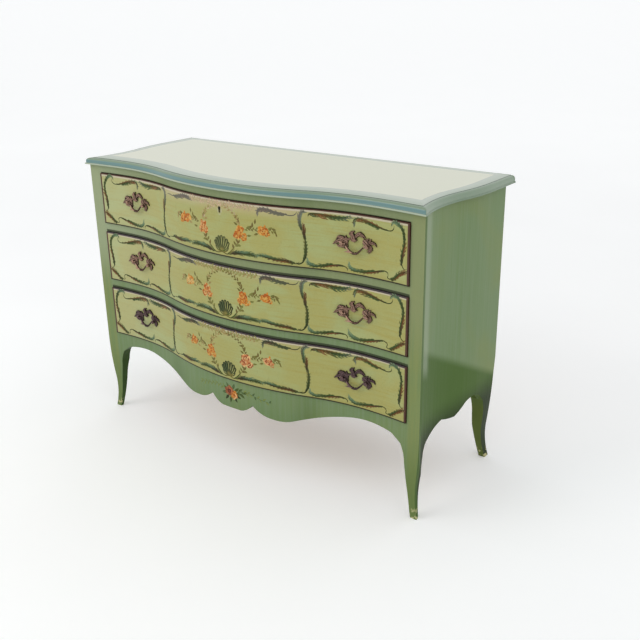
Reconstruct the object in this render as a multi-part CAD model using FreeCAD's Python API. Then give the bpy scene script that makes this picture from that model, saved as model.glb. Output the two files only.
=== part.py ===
import FreeCAD, Part
import math
import os

# Three-drawer serpentine dresser. Millimetres, +Z up, front towards -Y.
# The origin is on the floor, under the middle of the whole piece.

# Overall sizes
overall_height = 866.0
overall_depth = 522.0
case_front_width = 1220.0
overrun = 30.0

# Serpentine line of the front, seen from above
bow_depth = 67.7
corner_run = 160.0
bow_radius_share = 0.58
corner_rise = 11.2

# Line of each side, seen from above
side_hollow_depth = 18.0
side_hollow_run = 115.0
side_swell_rise = 15.0
side_swell_run = 225.0
side_inflection_share = 0.4

# Top
top_thickness = 21.0
top_front_overhang = 13.0
top_side_overhang = 11.0
top_back_overhang = 14.0
top_swell_rise = 25.0
top_corner_radius = 5.0
lip_height = 4.5
lip_inset = 2.5
ovolo_radius = 9.0
quirk_inset = 15.0
quirk_height = 1.2
top_screw_hole_depth = 12.0

# Drawer openings
stile_width = 42.0
bottom_opening_floor = 279.5
rail_height = 25.5
top_rail_height = 24.0
rail_depth_at_hollow = 38.0
level_names = ("lower", "upper")
drawer_names = ("bottom", "middle", "top")

# Case boards
stile_depth = 38.5
back_leg_depth = 66.0
back_leg_thickness = 41.0
side_panel_thickness = 20.0
back_panel_thickness = 6.0
back_panel_recess = 6.0
rear_rail_depth = 35.0
back_bottom_rail_height = 50.0
runner_width = 51.0
dust_panel_thickness = 5.0
dust_groove_depth = 8.0
groove_clearance = 0.2
centre_guide_width = 22.0
centre_guide_height = 8.0
guide_clearance = 1.0

# Legs and aprons
apron_drop = 92.5
apron_thickness = 25.0
knee_reach = 20.0
knee_edge_height = 214.75
leg_straight_height = 260.0
hock_height = 115.0
ankle_height = 76.0
hock_hollow = 9.5
ankle_hollow = 12.0
foot_kick_inset = 2.5
foot_width = 20.5
calf_height = 90.0
calf_inner_inset = 38.0
thigh_height = 163.0
thigh_inner_inset = 48.0
knee_bend_height = 192.0
knee_bend_inset = 52.5
front_hollow_share = 0.5
side_apron_front_height = 176.0
side_apron_back_height = 210.0
front_leg_shin_height = 120.0
front_leg_shin_depth = 28.5
front_leg_bend_height = 153.0
front_leg_bend_depth = 32.0
front_leg_ankle_height = 68.0
front_leg_ankle_depth = 24.0
front_leg_foot_depth = 12.5
back_leg_straight_height = 330.0
back_leg_bend_height = 181.0
back_leg_bend_inset = 11.0
back_leg_shin_height = 149.0
back_leg_shin_inset = 15.0
back_leg_ankle_height = 88.0
back_leg_ankle_inset = 22.5
back_leg_foot_inset = 40.0
back_leg_rear_bend_height = 245.0
back_leg_rear_bend_inset = 9.5
back_leg_calf_height = 150.0
back_leg_calf_inset = 15.0
back_leg_heel_height = 75.0
back_leg_heel_inset = 13.5
back_leg_foot_rear_inset = 5.0

# Drawers
drawer_gap = 1.5
drawer_front_thickness = 22.0
drawer_front_proud = 5.0
drawer_side_inset = 5.0
drawer_side_thickness = 12.0
drawer_back_thickness = 12.0
drawer_back_gap = 8.0
drawer_top_gap = 6.0
drawer_running_gap = 0.3
drawer_bottom_thickness = 6.0
drawer_bottom_height = 12.0
drawer_groove_depth = 5.0

# Cast pulls
pull_from_opening_edge = 161.0
pull_width = 128.0
pull_height = 66.0
pull_leaf_thickness = 3.4
pull_leaf_step = 0.8
pull_seat_depth = 6.0
post_spacing = 74.0
post_radius = 5.0
post_length = 15.0
post_head_radius = 6.5
post_head_length = 3.0
crest_boss_radius = 5.5
crest_boss_place_share = (0.03, 0.36)
bail_axis_out = 10.0
bail_axis_up = 2.0
bail_pin_radius = 2.0
bail_pin_clearance = 0.06
bail_pin_length = 10.0
bail_wire_radius = 2.4
bail_post_gap = 0.6
bail_drop = 22.0
bail_bottom_radius = 12.0
bail_grip_radius = 3.6
bail_grip_length = 9.0
bail_sprig_place_share = 0.66
bail_round_end_share = 0.97
bail_sprig_length = 13.0
bail_sprig_width = 5.0
bail_sprig_fall = 4.0
bail_sprig_thickness = 3.0
pull_screw_radius = 2.1
pull_screw_hole_radius = 2.4
pull_screw_thread_clearance = 0.05
pull_screw_bite = 5.0
pull_screw_head_radius = 4.6
pull_screw_head_height = 2.4
pull_screw_head_gap = 0.1

# Lock of the top drawer
keyhole_below_opening_top = 30.0
keyhole_radius = 2.3
keyhole_slot_width = 2.4
keyhole_slot_length = 9.0
lock_width = 50.0
lock_height = 38.0
lock_thickness = 10.0
lock_recess = 5.0
lock_fit_clearance = 0.2
lock_top_gap = 1.0
bolt_width = 16.0
bolt_thickness = 4.0
bolt_length = 20.0
bolt_clearance = 0.3
bolt_travel = 7.0
mortise_clearance = 1.0

# Screws that hold the top down
top_screw_radius = 2.1
top_screw_hole_clearance = 0.1
top_screw_head_radius = 4.5
top_screw_head_height = 2.5
kicker_screw_end_distance = 60.0
rail_screw_from_centre = 200.0

# Worked-out levels and places
half_case = case_front_width / 2
half_opening = half_case - stile_width
hollow_from_centre = half_case - corner_run
pull_from_centre = half_opening - pull_from_opening_edge
top_underside = overall_height - top_thickness
top_opening_top = top_underside - top_rail_height
level_pitch = (top_opening_top + rail_height - bottom_opening_floor) / len(drawer_names)
opening_height = level_pitch - rail_height
bow_y = -overall_depth / 2 + top_front_overhang
hollow_y = bow_y + bow_depth
top_back_y = overall_depth / 2
case_back_y = top_back_y - top_back_overhang
rail_back_y = hollow_y + rail_depth_at_hollow
panel_back_y = case_back_y - back_panel_recess
panel_front_y = panel_back_y - back_panel_thickness
rear_rail_front_y = panel_front_y - rear_rail_depth
back_leg_front_y = case_back_y - back_leg_depth
drawer_side_outer_x = half_opening - drawer_side_inset
drawer_side_inner_x = drawer_side_outer_x - drawer_side_thickness
drawer_back_y = panel_front_y - drawer_back_gap
apron_lobe_z = bottom_opening_floor - apron_drop

# Radii of the serpentine's arcs
bow_turn = 2 * math.atan(bow_depth / hollow_from_centre)
bow_radius_sum = hollow_from_centre / math.sin(bow_turn)
bow_radius = bow_radius_share * bow_radius_sum
hollow_radius = bow_radius_sum - bow_radius
corner_radius = (corner_run ** 2 + corner_rise ** 2) / (2 * corner_rise)

V = FreeCAD.Vector
UP = V(0, 0, 1)
OUT = V(0, -1, 0)
INWARDS = V(0, 1, 0)


# Plain helpers

def point(x, y, z=0.0):
    return V(x, y, z)


def arc_through(a, b, c):
    return Part.Arc(a, b, c).toShape()


def line(a, b):
    return Part.LineSegment(a, b).toShape()


def prism(edges, z_low, z_high):
    """A solid with the closed plan outline given by edges, between two heights."""
    face = Part.Face(Part.Wire(Part.__sortEdges__(edges)))
    solid = face.extrude(V(0, 0, z_high - z_low))
    solid.translate(V(0, 0, z_low))
    return solid


def box(x_low, x_high, y_low, y_high, z_low, z_high):
    return Part.makeBox(x_high - x_low, y_high - y_low, z_high - z_low, V(x_low, y_low, z_low))


def rod(radius, length, base, direction):
    return Part.makeCylinder(radius, length, base, direction)


def mirrored(shape):
    return shape.mirror(V(0, 0, 0), V(1, 0, 0))


def chain(points):
    """Edges through points: each segment is (start, via, end); via None is a straight line."""
    edges = []
    for start, via, end in zip(points[0::2], points[1::2], points[2::2]):
        if via is not None:
            edges.append(arc_through(start, via, end))
        elif start != end:
            edges.append(line(start, end))
    return edges


def closed_chain(points):
    return Part.Face(Part.Wire(chain(points) + [line(points[-1], points[0])]))


def save(name, shape):
    solids = shape.Solids
    cleaned = solids[0] if len(solids) == 1 else Part.makeCompound(solids)
    cleaned.exportStep("parts/" + name + ".step")
    print(name, len(solids), "solid", round(shape.Volume), "mm3", "valid" if shape.isValid() else "NOT VALID")


# The serpentine line of the front

def front_inflection_x(offset):
    return (bow_radius + offset) * math.sin(bow_turn)


def front_y(x, offset=0.0):
    """Y of the front line at x, moved outwards, towards the viewer, by offset."""
    x = abs(x)
    if x <= front_inflection_x(offset):
        return bow_y + bow_radius - math.sqrt((bow_radius + offset) ** 2 - x ** 2)
    radius = hollow_radius if x <= hollow_from_centre else corner_radius
    return hollow_y - radius + math.sqrt((radius - offset) ** 2 - (x - hollow_from_centre) ** 2)


def front_turn(x):
    """Angle of the front line at x, in degrees about +Z."""
    if abs(x) <= front_inflection_x(0.0):
        return math.degrees(math.asin(x / bow_radius))
    radius = hollow_radius if abs(x) <= hollow_from_centre else corner_radius
    return math.copysign(math.degrees(math.asin((hollow_from_centre - abs(x)) / radius)), x)


def front_edges(x_from, x_to, offset=0.0):
    """Arcs of the front line, at an offset, between two places."""
    knots = [-hollow_from_centre, -front_inflection_x(offset), front_inflection_x(offset), hollow_from_centre]
    stops = [x_from] + [knot for knot in knots if x_from < knot < x_to] + [x_to]
    edges = []
    for a, c in zip(stops, stops[1:]):
        b = (a + c) / 2
        edges.append(arc_through(*[point(x, front_y(x, offset)) for x in (a, b, c)]))
    return edges


# The hollowed line of a side, right hand; the left side is its mirror image

class SideLine:
    def __init__(self, corner_x, corner_y, swell_rise):
        self.hollow_x = corner_x - side_hollow_depth
        self.hollow_y = corner_y + side_hollow_run
        self.swell_x = self.hollow_x + swell_rise
        self.swell_y = self.hollow_y + side_swell_run
        self.turn = 2 * math.atan(swell_rise / side_swell_run)
        radius_sum = side_swell_run / math.sin(self.turn)
        self.hollow_radius = side_inflection_share * radius_sum
        self.swell_radius = radius_sum - self.hollow_radius
        self.corner_radius = (side_hollow_run ** 2 + side_hollow_depth ** 2) / (2 * side_hollow_depth)

    def inflection_y(self, offset):
        return self.hollow_y + (self.hollow_radius - offset) * math.sin(self.turn)

    def x(self, y, offset=0.0):
        if y <= self.inflection_y(offset):
            radius = self.corner_radius if y <= self.hollow_y else self.hollow_radius
            return self.hollow_x + radius - math.sqrt((radius - offset) ** 2 - (y - self.hollow_y) ** 2)
        if y <= self.swell_y:
            radius = self.swell_radius
            return self.swell_x - radius + math.sqrt((radius + offset) ** 2 - (self.swell_y - y) ** 2)
        return self.swell_x + offset

    def edges(self, y_from, y_to, offset=0.0):
        knots = [self.hollow_y, self.inflection_y(offset), self.swell_y]
        stops = [y_from] + [knot for knot in knots if y_from < knot < y_to] + [y_to]
        result = []
        for a, c in zip(stops, stops[1:]):
            start = point(self.x(a, offset), a)
            end = point(self.x(c, offset), c)
            if a >= self.swell_y:
                result.append(line(start, end))
            else:
                b = (a + c) / 2
                result.append(arc_through(start, point(self.x(b, offset), b), end))
        return result

    def corner(self, front_offset, side_offset):
        """Where this line, at its offset, meets the front line at another offset."""
        x = self.hollow_x + side_hollow_depth
        for _ in range(30):
            x = self.x(front_y(x, front_offset), side_offset)
        return x, front_y(x, front_offset)


case_corner_y = front_y(half_case)
case_side = SideLine(half_case, case_corner_y, side_swell_rise)
half_top = half_case + top_side_overhang
top_side = SideLine(half_top, front_y(half_top, top_front_overhang), top_swell_rise)
stile_back_y = case_corner_y + stile_depth
back_leg_inner_x = case_side.x(case_back_y) - back_leg_thickness
runner_outer_x = back_leg_inner_x


# Top panel

def top_outline(inset):
    x, y = top_side.corner(top_front_overhang - inset, -inset)
    right = top_side.edges(y, top_back_y, -inset)
    left = [mirrored(edge) for edge in right]
    back_x = top_side.x(top_back_y, -inset)
    back = [line(point(-back_x, top_back_y), point(back_x, top_back_y))]
    return front_edges(-x, x, top_front_overhang - inset) + right + back + left


def top_slab(inset, z_low, z_high):
    return prism(top_outline(inset), z_low, z_high)


def ease_front_corners(slab, radius):
    """Rounds the two upright edges where the front line meets the side lines."""
    corners = [edge for edge in slab.Edges
               if edge.BoundBox.DiagonalLength < radius and edge.BoundBox.ZLength > 0
               and abs(edge.BoundBox.XMin) > half_case and edge.BoundBox.YMin < 0]
    return slab.makeFillet(radius, corners)


def make_top_panel():
    field_z = overall_height - quirk_height
    body_z = top_underside + lip_height
    lip = ease_front_corners(top_slab(0.0, top_underside, body_z), top_corner_radius)
    body = top_slab(lip_inset, body_z, field_z)
    rim = [edge for edge in body.Edges
           if edge.BoundBox.ZMin > field_z - quirk_height and edge.BoundBox.YMin < top_back_y - quirk_height]
    body = body.makeFillet(ovolo_radius, rim)
    field = top_slab(quirk_inset, field_z, overall_height)
    return lip.fuse([body, field]).removeSplitter()


# Screws that hold the top: places as (x, y, height of the rail under the top)

def top_screw_places():
    kicker_x = runner_outer_x - runner_width / 2
    rear_x = rail_screw_from_centre
    rail_y = (front_y(rail_screw_from_centre) + rail_back_y) / 2
    rear_y = (rear_rail_front_y + panel_front_y) / 2
    places = []
    for side in (-1, 1):
        places.append((side * kicker_x, rail_back_y + kicker_screw_end_distance))
        places.append((side * kicker_x, rear_rail_front_y - kicker_screw_end_distance))
        places.append((side * rear_x, rail_y))
        places.append((side * rear_x, rear_y))
    return places


def top_screw_holes(radius, z_low, z_high):
    return [Part.makeCylinder(radius, z_high - z_low, V(x, y, z_low)) for x, y in top_screw_places()]


def make_top_screws():
    solids = []
    for x, y in top_screw_places():
        head = Part.makeCylinder(top_screw_head_radius, top_screw_head_height,
                                 V(x, y, top_opening_top - top_screw_head_height))
        shank = Part.makeCylinder(top_screw_radius, top_rail_height + top_screw_hole_depth / 2,
                                  V(x, y, top_opening_top))
        solids.append(head.fuse(shank).removeSplitter())
    return Part.makeCompound(solids)


# Rails, runners and dust panels

def front_rail(z_low, z_high):
    edges = front_edges(-half_opening, half_opening)
    left = point(-half_opening, rail_back_y)
    right = point(half_opening, rail_back_y)
    edges.append(line(point(half_opening, front_y(half_opening)), right))
    edges.append(line(right, left))
    edges.append(line(left, point(-half_opening, front_y(half_opening))))
    return prism(edges, z_low, z_high)


def runner_pair(z_low, z_high):
    inner_x = runner_outer_x - runner_width
    right = box(inner_x, runner_outer_x, rail_back_y, rear_rail_front_y, z_low, z_high)
    return right, mirrored(right)


def rear_rail(z_low, z_high):
    return box(-back_leg_inner_x, back_leg_inner_x, rear_rail_front_y, panel_front_y, z_low, z_high)


def dust_panel(z_middle, clearance):
    """The loose panel of one level; with a clearance it is the cutter for its grooves."""
    reach = dust_groove_depth + clearance
    half_width = runner_outer_x - runner_width + reach
    half_thickness = dust_panel_thickness / 2 + clearance
    return box(-half_width, half_width, rail_back_y - reach, rear_rail_front_y + reach,
               z_middle - half_thickness, z_middle + half_thickness)


def centre_guide(floor_z, panel_top_z):
    """A strip on the dust panel, standing proud of the runners' level, that the drawer's back rides on."""
    half_width = centre_guide_width / 2
    return box(-half_width, half_width, rail_back_y, rear_rail_front_y,
               panel_top_z, floor_z + centre_guide_height)


# Aprons and legs

def outline_in_front_view(points, depth):
    """A prism along Y from (x, z) points of a closed chain."""
    face = closed_chain([None if p is None else point(p[0], -overall_depth, p[1]) for p in points])
    return face.extrude(V(0, depth, 0))


def outline_in_side_view(points, width):
    """A prism along X from (y, z) points of a closed chain."""
    face = closed_chain([None if p is None else point(0, p[0], p[1]) for p in points])
    return face.extrude(V(width, 0, 0))


# Shares of half the opening's width, and of the apron's drop below the opening
apron_edge_shares = (
    (0.063, 1.0), (0.108, 0.885), (0.139, 0.70),
    (0.187, 0.90), (0.262, 1.01), (0.320, 1.015), (0.379, 0.925),
    (0.531, 0.61), (0.669, 0.415), (0.792, 0.355), (0.915, 0.475),
    (0.940, 0.59),
)


def make_front_apron():
    end_x = half_opening - knee_reach
    edge = [(x * half_opening, bottom_opening_floor - z * apron_drop) for x, z in apron_edge_shares]
    end = (end_x, knee_edge_height)
    right = edge + [end]
    left = [(-x, z) for x, z in reversed(right)]
    top = bottom_opening_floor
    cutter_points = left + [None] + right
    cutter_points += [None, (end_x + overrun, knee_edge_height), None, (end_x + overrun, top + overrun)]
    cutter_points += [None, (-end_x - overrun, top + overrun), None, (-end_x - overrun, knee_edge_height)]
    blank = front_band(end_x, 0.0, -apron_thickness, apron_lobe_z - overrun, top)
    return blank.common(outline_in_front_view(cutter_points, 2 * overall_depth))


def make_bottom_rail():
    """The rail behind the apron, which carries the front ends of the bottom runners."""
    half_width = half_opening - knee_reach
    return behind_front(half_width, -apron_thickness, rail_back_y,
                        bottom_opening_floor - rail_height, bottom_opening_floor)


def leg_outer_edge(outer, inwards):
    """From the straight part down to the foot: a long curve into the ankle and the foot's kick."""
    middle_height = (leg_straight_height + hock_height) / 2
    return [
        (outer, leg_straight_height),
        (outer - inwards * hock_hollow / 4, middle_height), (outer - inwards * hock_hollow, hock_height),
        (outer - inwards * ankle_hollow, ankle_height), (outer - inwards * foot_kick_inset, 0),
    ]


def leg_inner_edge(outer_x):
    """From the foot up to the thigh, seen from the front."""
    return [
        (outer_x - foot_kick_inset - foot_width, 0), (outer_x - calf_inner_inset, calf_height),
        (outer_x - thigh_inner_inset, thigh_height),
    ]


def make_front_leg():
    """The right front leg and stile, in one piece, with the knee that meets the apron."""
    inner_x = half_opening - knee_reach
    above = top_underside + overrun
    edges = front_edges(inner_x, half_case)
    edges += case_side.edges(case_corner_y, stile_back_y)
    back_right = point(case_side.x(stile_back_y), stile_back_y)
    back_left = point(inner_x, stile_back_y)
    edges += [line(back_right, back_left), line(back_left, point(inner_x, front_y(inner_x)))]
    blank = prism(edges, 0, top_underside)
    seen_from_front = leg_inner_edge(half_case) + [
        (half_case - knee_bend_inset, knee_bend_height), (inner_x, knee_edge_height),
        None, (inner_x, bottom_opening_floor),
        None, (half_opening, bottom_opening_floor),
        None, (half_opening, above),
        None, (half_case + overrun, above),
        None, (half_case + overrun, leg_straight_height),
        None] + leg_outer_edge(half_case, 1)
    toe = case_corner_y
    seen_from_side = [
        (toe + front_leg_foot_depth, 0), (toe + front_leg_ankle_depth, front_leg_ankle_height),
        (toe + front_leg_shin_depth, front_leg_shin_height),
        (toe + front_leg_bend_depth, front_leg_bend_height), (stile_back_y, side_apron_front_height),
        None, (stile_back_y, above),
        None, (toe - overrun, above),
        None, (toe - overrun, leg_straight_height),
        None] + leg_outer_edge(toe, -front_hollow_share)
    front = outline_in_front_view(seen_from_front, 2 * overall_depth)
    return blank.common(front).common(outline_in_side_view(seen_from_side, case_front_width))


def make_back_leg():
    """The right back leg and stile: a sabre that sweeps back at the foot."""
    inner_x = back_leg_inner_x
    outer_x = case_side.x(case_back_y)
    above = top_underside + overrun
    edges = case_side.edges(back_leg_front_y, case_back_y)
    corners = [point(outer_x, case_back_y), point(inner_x, case_back_y),
               point(inner_x, back_leg_front_y), point(case_side.x(back_leg_front_y), back_leg_front_y)]
    edges += [line(a, b) for a, b in zip(corners, corners[1:])]
    blank = prism(edges, 0, top_underside)
    seen_from_front = leg_inner_edge(outer_x) + [
        None, (outer_x - thigh_inner_inset, above),
        None, (outer_x + overrun, above),
        None, (outer_x + overrun, leg_straight_height),
        None] + leg_outer_edge(outer_x, 1)
    shin = back_leg_front_y
    heel = case_back_y
    seen_from_side = [
        (shin + back_leg_foot_inset, 0), (shin + back_leg_ankle_inset, back_leg_ankle_height),
        (shin + back_leg_shin_inset, back_leg_shin_height),
        (shin + back_leg_bend_inset, back_leg_bend_height), (shin, side_apron_back_height),
        None, (shin, above),
        None, (heel, above),
        None, (heel, back_leg_straight_height),
        (heel - back_leg_rear_bend_inset, back_leg_rear_bend_height),
        (heel - back_leg_calf_inset, back_leg_calf_height),
        (heel - back_leg_heel_inset, back_leg_heel_height), (heel - back_leg_foot_rear_inset, 0),
    ]
    front = outline_in_front_view(seen_from_front, 2 * overall_depth)
    return blank.common(front).common(outline_in_side_view(seen_from_side, case_front_width))


# Shares of the run between the legs, and of the apron's drop below the opening
side_edge_shares = (
    (0.030, 0.87), (0.099, 0.72),
    (0.210, 0.555), (0.330, 0.450),
    (0.415, 0.550), (0.517, 0.612),
    (0.600, 0.500), (0.670, 0.365),
    (0.775, 0.290), (0.905, 0.420),
    (0.963, 0.600),
)


def make_side_panel():
    """The right side panel, a hollowed board between the legs."""
    front_y_edge = stile_back_y
    back_y_edge = back_leg_front_y
    outer = case_side.edges(front_y_edge, back_y_edge)
    inner = case_side.edges(front_y_edge, back_y_edge, -side_panel_thickness)
    ends = [line(point(case_side.x(y), y), point(case_side.x(y, -side_panel_thickness), y))
            for y in (front_y_edge, back_y_edge)]
    blank = prism(outer + inner + ends, apron_lobe_z - overrun, top_underside)
    run = back_y_edge - front_y_edge
    bottom = [(front_y_edge + y * run, bottom_opening_floor - z * apron_drop) for y, z in side_edge_shares]
    outline = [(front_y_edge, side_apron_front_height)] + bottom + [(back_y_edge, side_apron_back_height)]
    outline += [None, (back_y_edge + overrun, side_apron_back_height)]
    outline += [None, (back_y_edge + overrun, top_underside + overrun)]
    outline += [None, (front_y_edge - overrun, top_underside + overrun)]
    outline += [None, (front_y_edge - overrun, side_apron_front_height)]
    return blank.common(outline_in_side_view(outline, case_front_width))


# Drawers, each built for the floor height of its opening

def front_band(half_width, near_offset, far_offset, z_low, z_high):
    """A slice of board that follows the front line between two offsets."""
    near = front_edges(-half_width, half_width, near_offset)
    far = front_edges(-half_width, half_width, far_offset)
    ends = [line(point(side * half_width, front_y(half_width, near_offset)),
                 point(side * half_width, front_y(half_width, far_offset))) for side in (-1, 1)]
    return prism(near + far + ends, z_low, z_high)


def behind_front(half_width, offset, y_back, z_low, z_high):
    """The plan area behind the front line at an offset, closed by a straight back."""
    edges = front_edges(-half_width, half_width, offset)
    left = point(-half_width, y_back)
    right = point(half_width, y_back)
    edges += [line(right, left)]
    edges += [line(point(half_width, front_y(half_width, offset)), right)]
    edges += [line(point(-half_width, front_y(half_width, offset)), left)]
    return prism(edges, z_low, z_high)


front_inner_offset = drawer_front_proud - drawer_front_thickness


def drawer_bottom_solid(floor_z, clearance):
    z_low = floor_z + drawer_running_gap + drawer_bottom_height
    reach = drawer_groove_depth + clearance
    return behind_front(drawer_side_inner_x + reach, front_inner_offset + reach,
                        drawer_back_y - drawer_back_thickness + reach,
                        z_low - clearance, z_low + drawer_bottom_thickness + clearance)


def make_drawer(floor_z, with_lock):
    front_z_low = floor_z + drawer_gap
    front_z_high = floor_z + opening_height - drawer_gap
    box_z_low = floor_z + drawer_running_gap
    box_z_high = floor_z + opening_height - drawer_top_gap
    groove = drawer_bottom_solid(floor_z, groove_clearance)

    front = front_band(half_opening - drawer_gap, drawer_front_proud, front_inner_offset,
                       front_z_low, front_z_high)
    front = front.cut(groove)
    for hole in pull_screw_holes(floor_z):
        front = front.cut(hole)
    if with_lock:
        front = front.cut(lock_pocket(floor_z)).cut(keyhole(floor_z))

    inside = behind_front(half_opening, front_inner_offset, drawer_back_y, box_z_low, box_z_high)
    right = box(drawer_side_inner_x, drawer_side_outer_x, -overall_depth / 2, drawer_back_y,
                box_z_low, box_z_high)
    right = right.common(inside).cut(groove)
    back = box(-drawer_side_inner_x, drawer_side_inner_x, drawer_back_y - drawer_back_thickness,
               drawer_back_y, box_z_low, box_z_high)
    notch_half = centre_guide_width / 2 + guide_clearance
    notch = box(-notch_half, notch_half, drawer_back_y - drawer_back_thickness - overrun,
                drawer_back_y + overrun, box_z_low - overrun,
                floor_z + centre_guide_height + guide_clearance)
    back = back.cut(groove).cut(notch)
    return {
        "front": front,
        "left_side": mirrored(right),
        "right_side": right,
        "back": back,
        "bottom": drawer_bottom_solid(floor_z, 0.0),
    }


# Lock

def lock_back_y():
    return front_y(lock_width / 2, front_inner_offset) + lock_thickness - lock_recess


def lock_pocket(floor_z):
    top = floor_z + opening_height
    half = lock_width / 2 + lock_fit_clearance
    front_face = lock_back_y() - lock_thickness - lock_fit_clearance
    low = top - drawer_gap - lock_top_gap - lock_height - lock_fit_clearance
    return box(-half, half, front_face, front_face + overrun, low, top)


def keyhole(floor_z):
    z = floor_z + opening_height - keyhole_below_opening_top
    hole = rod(keyhole_radius, overrun, V(0, lock_back_y() - overrun, z), INWARDS)
    half = keyhole_slot_width / 2
    slot = box(-half, half, lock_back_y() - overrun, lock_back_y(), z - keyhole_slot_length, z)
    return hole.fuse(slot)


def lock_z_top(floor_z):
    return floor_z + opening_height - drawer_gap - lock_top_gap


def bolt_y_middle():
    return lock_back_y() - lock_thickness / 2


def make_lock_case(floor_z):
    top = lock_z_top(floor_z)
    back = lock_back_y()
    case = box(-lock_width / 2, lock_width / 2, back - lock_thickness, back, top - lock_height, top)
    half_width = bolt_width / 2 + bolt_clearance
    half_thickness = bolt_thickness / 2 + bolt_clearance
    middle = bolt_y_middle()
    chamber = box(-half_width, half_width, middle - half_thickness, middle + half_thickness,
                  top - bolt_length - bolt_clearance, top + overrun)
    return case.cut(chamber)


def make_lock_bolt(floor_z):
    top = lock_z_top(floor_z)
    return box(-bolt_width / 2, bolt_width / 2, bolt_y_middle() - bolt_thickness / 2,
               bolt_y_middle() + bolt_thickness / 2, top - bolt_length, top)


def lock_mortise():
    half_width = bolt_width / 2 + mortise_clearance
    half_thickness = bolt_thickness / 2 + mortise_clearance
    return box(-half_width, half_width, bolt_y_middle() - half_thickness, bolt_y_middle() + half_thickness,
               top_opening_top - overrun, top_opening_top + bolt_travel)


# Pulls: modelled about their own middle, +X to the right, -Y outwards, +Z up

def leaf(tail, tip, width, thickness):
    """A pointed leaf between two (x, z) points, in shares of the pull's half width and half height."""
    scale_x = pull_width / 2
    scale_z = pull_height / 2
    start = V(tail[0] * scale_x, pull_seat_depth, tail[1] * scale_z)
    end = V(tip[0] * scale_x, pull_seat_depth, tip[1] * scale_z)
    middle = (start + end) * 0.5
    across = (end - start).cross(V(0, 1, 0)).normalize() * (width / 2)
    face = Part.Face(Part.Wire([arc_through(start, middle + across, end),
                                arc_through(end, middle - across, start)]))
    return face.extrude(V(0, -pull_seat_depth - thickness, 0))


# Each leaf: tail, tip (shares of half the pull's width and height), width share of its height
left_rosette_shares = (
    ((-0.50, -0.04), (-1.00, -0.14), 0.20), ((-0.50, 0.00), (-0.88, 0.36), 0.20),
    ((-0.52, 0.06), (-0.56, 0.62), 0.20), ((-0.52, 0.10), (-0.26, 0.50), 0.14),
    ((-0.60, 0.02), (-0.84, -0.42), 0.16), ((-0.58, 0.04), (-0.42, -0.54), 0.16),
)
right_rosette_shares = (
    ((0.54, 0.02), (0.90, 0.30), 0.18), ((0.60, 0.02), (1.00, -0.34), 0.18),
    ((0.56, 0.08), (0.66, 0.66), 0.20), ((0.50, 0.10), (0.34, 0.60), 0.16),
    ((0.60, 0.02), (0.56, -0.86), 0.18), ((0.50, -0.04), (0.40, -0.50), 0.14),
)
crest_shares = (
    ((0.00, 0.30), (-0.24, 1.00), 0.24), ((-0.04, 0.34), (0.18, 0.90), 0.24),
    ((0.02, 0.34), (0.46, 0.72), 0.20), ((0.06, 0.50), (-0.26, 0.52), 0.16),
    ((-0.04, 0.60), (0.10, 0.06), 0.18),
)
vine_shares = (
    ((-0.52, 0.16), (-0.02, 0.36), 0.11), ((0.20, 0.62), (0.54, 0.14), 0.12),
    ((0.00, 0.32), (0.52, 0.14), 0.08),
)


def screw_places():
    return [(side * post_spacing / 2, bail_axis_up) for side in (-1, 1)]


def make_pull_plate():
    groups = (left_rosette_shares, right_rosette_shares, crest_shares, vine_shares)
    pieces = []
    for group in groups:
        for index, (tail, tip, width_share) in enumerate(group):
            thickness = pull_leaf_thickness + pull_leaf_step * (index % 3)
            pieces.append(leaf(tail, tip, width_share * pull_height, thickness))
    boss_x, boss_z = crest_boss_place_share
    boss_base = V(boss_x * pull_width / 2, pull_seat_depth, boss_z * pull_height / 2)
    leaf_reach = pull_seat_depth + pull_leaf_thickness
    pieces.append(rod(crest_boss_radius, leaf_reach, boss_base, OUT))
    for x, z in screw_places():
        base = V(x, pull_seat_depth, z)
        pieces.append(rod(post_radius, pull_seat_depth + post_length, base, OUT))
        pieces.append(rod(post_head_radius, leaf_reach + post_head_length, base, OUT))
    plate = pieces[0].fuse(pieces[1:]).removeSplitter()
    for side, (x, z) in zip((-1, 1), screw_places()):
        inner = x - side * (post_radius + overrun)
        bore = rod(bail_pin_radius + bail_pin_clearance, post_radius + overrun + bail_pin_reach(),
                   V(inner, -bail_axis_out, z), V(side, 0, 0))
        thread = rod(pull_screw_radius + pull_screw_thread_clearance,
                     pull_seat_depth + pull_screw_bite, V(x, pull_seat_depth, z), OUT)
        plate = plate.cut(bore).cut(thread)
    return plate


def bail_pin_reach():
    """How far the blind bore runs past the post's middle."""
    return bail_pin_length - (post_spacing / 2 - bail_arm_x())


def bail_arm_x():
    return post_spacing / 2 - post_radius - bail_post_gap - bail_wire_radius


def bail_tangent_point():
    """Where a straight arm runs into the rounded bottom, from the middle of that curve."""
    rise = bail_drop - bail_bottom_radius
    distance = math.hypot(bail_arm_x(), rise)
    angle = math.atan2(rise, -bail_arm_x()) + math.acos(bail_bottom_radius / distance)
    return bail_bottom_radius * math.cos(angle), bail_bottom_radius * math.sin(angle)


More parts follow.
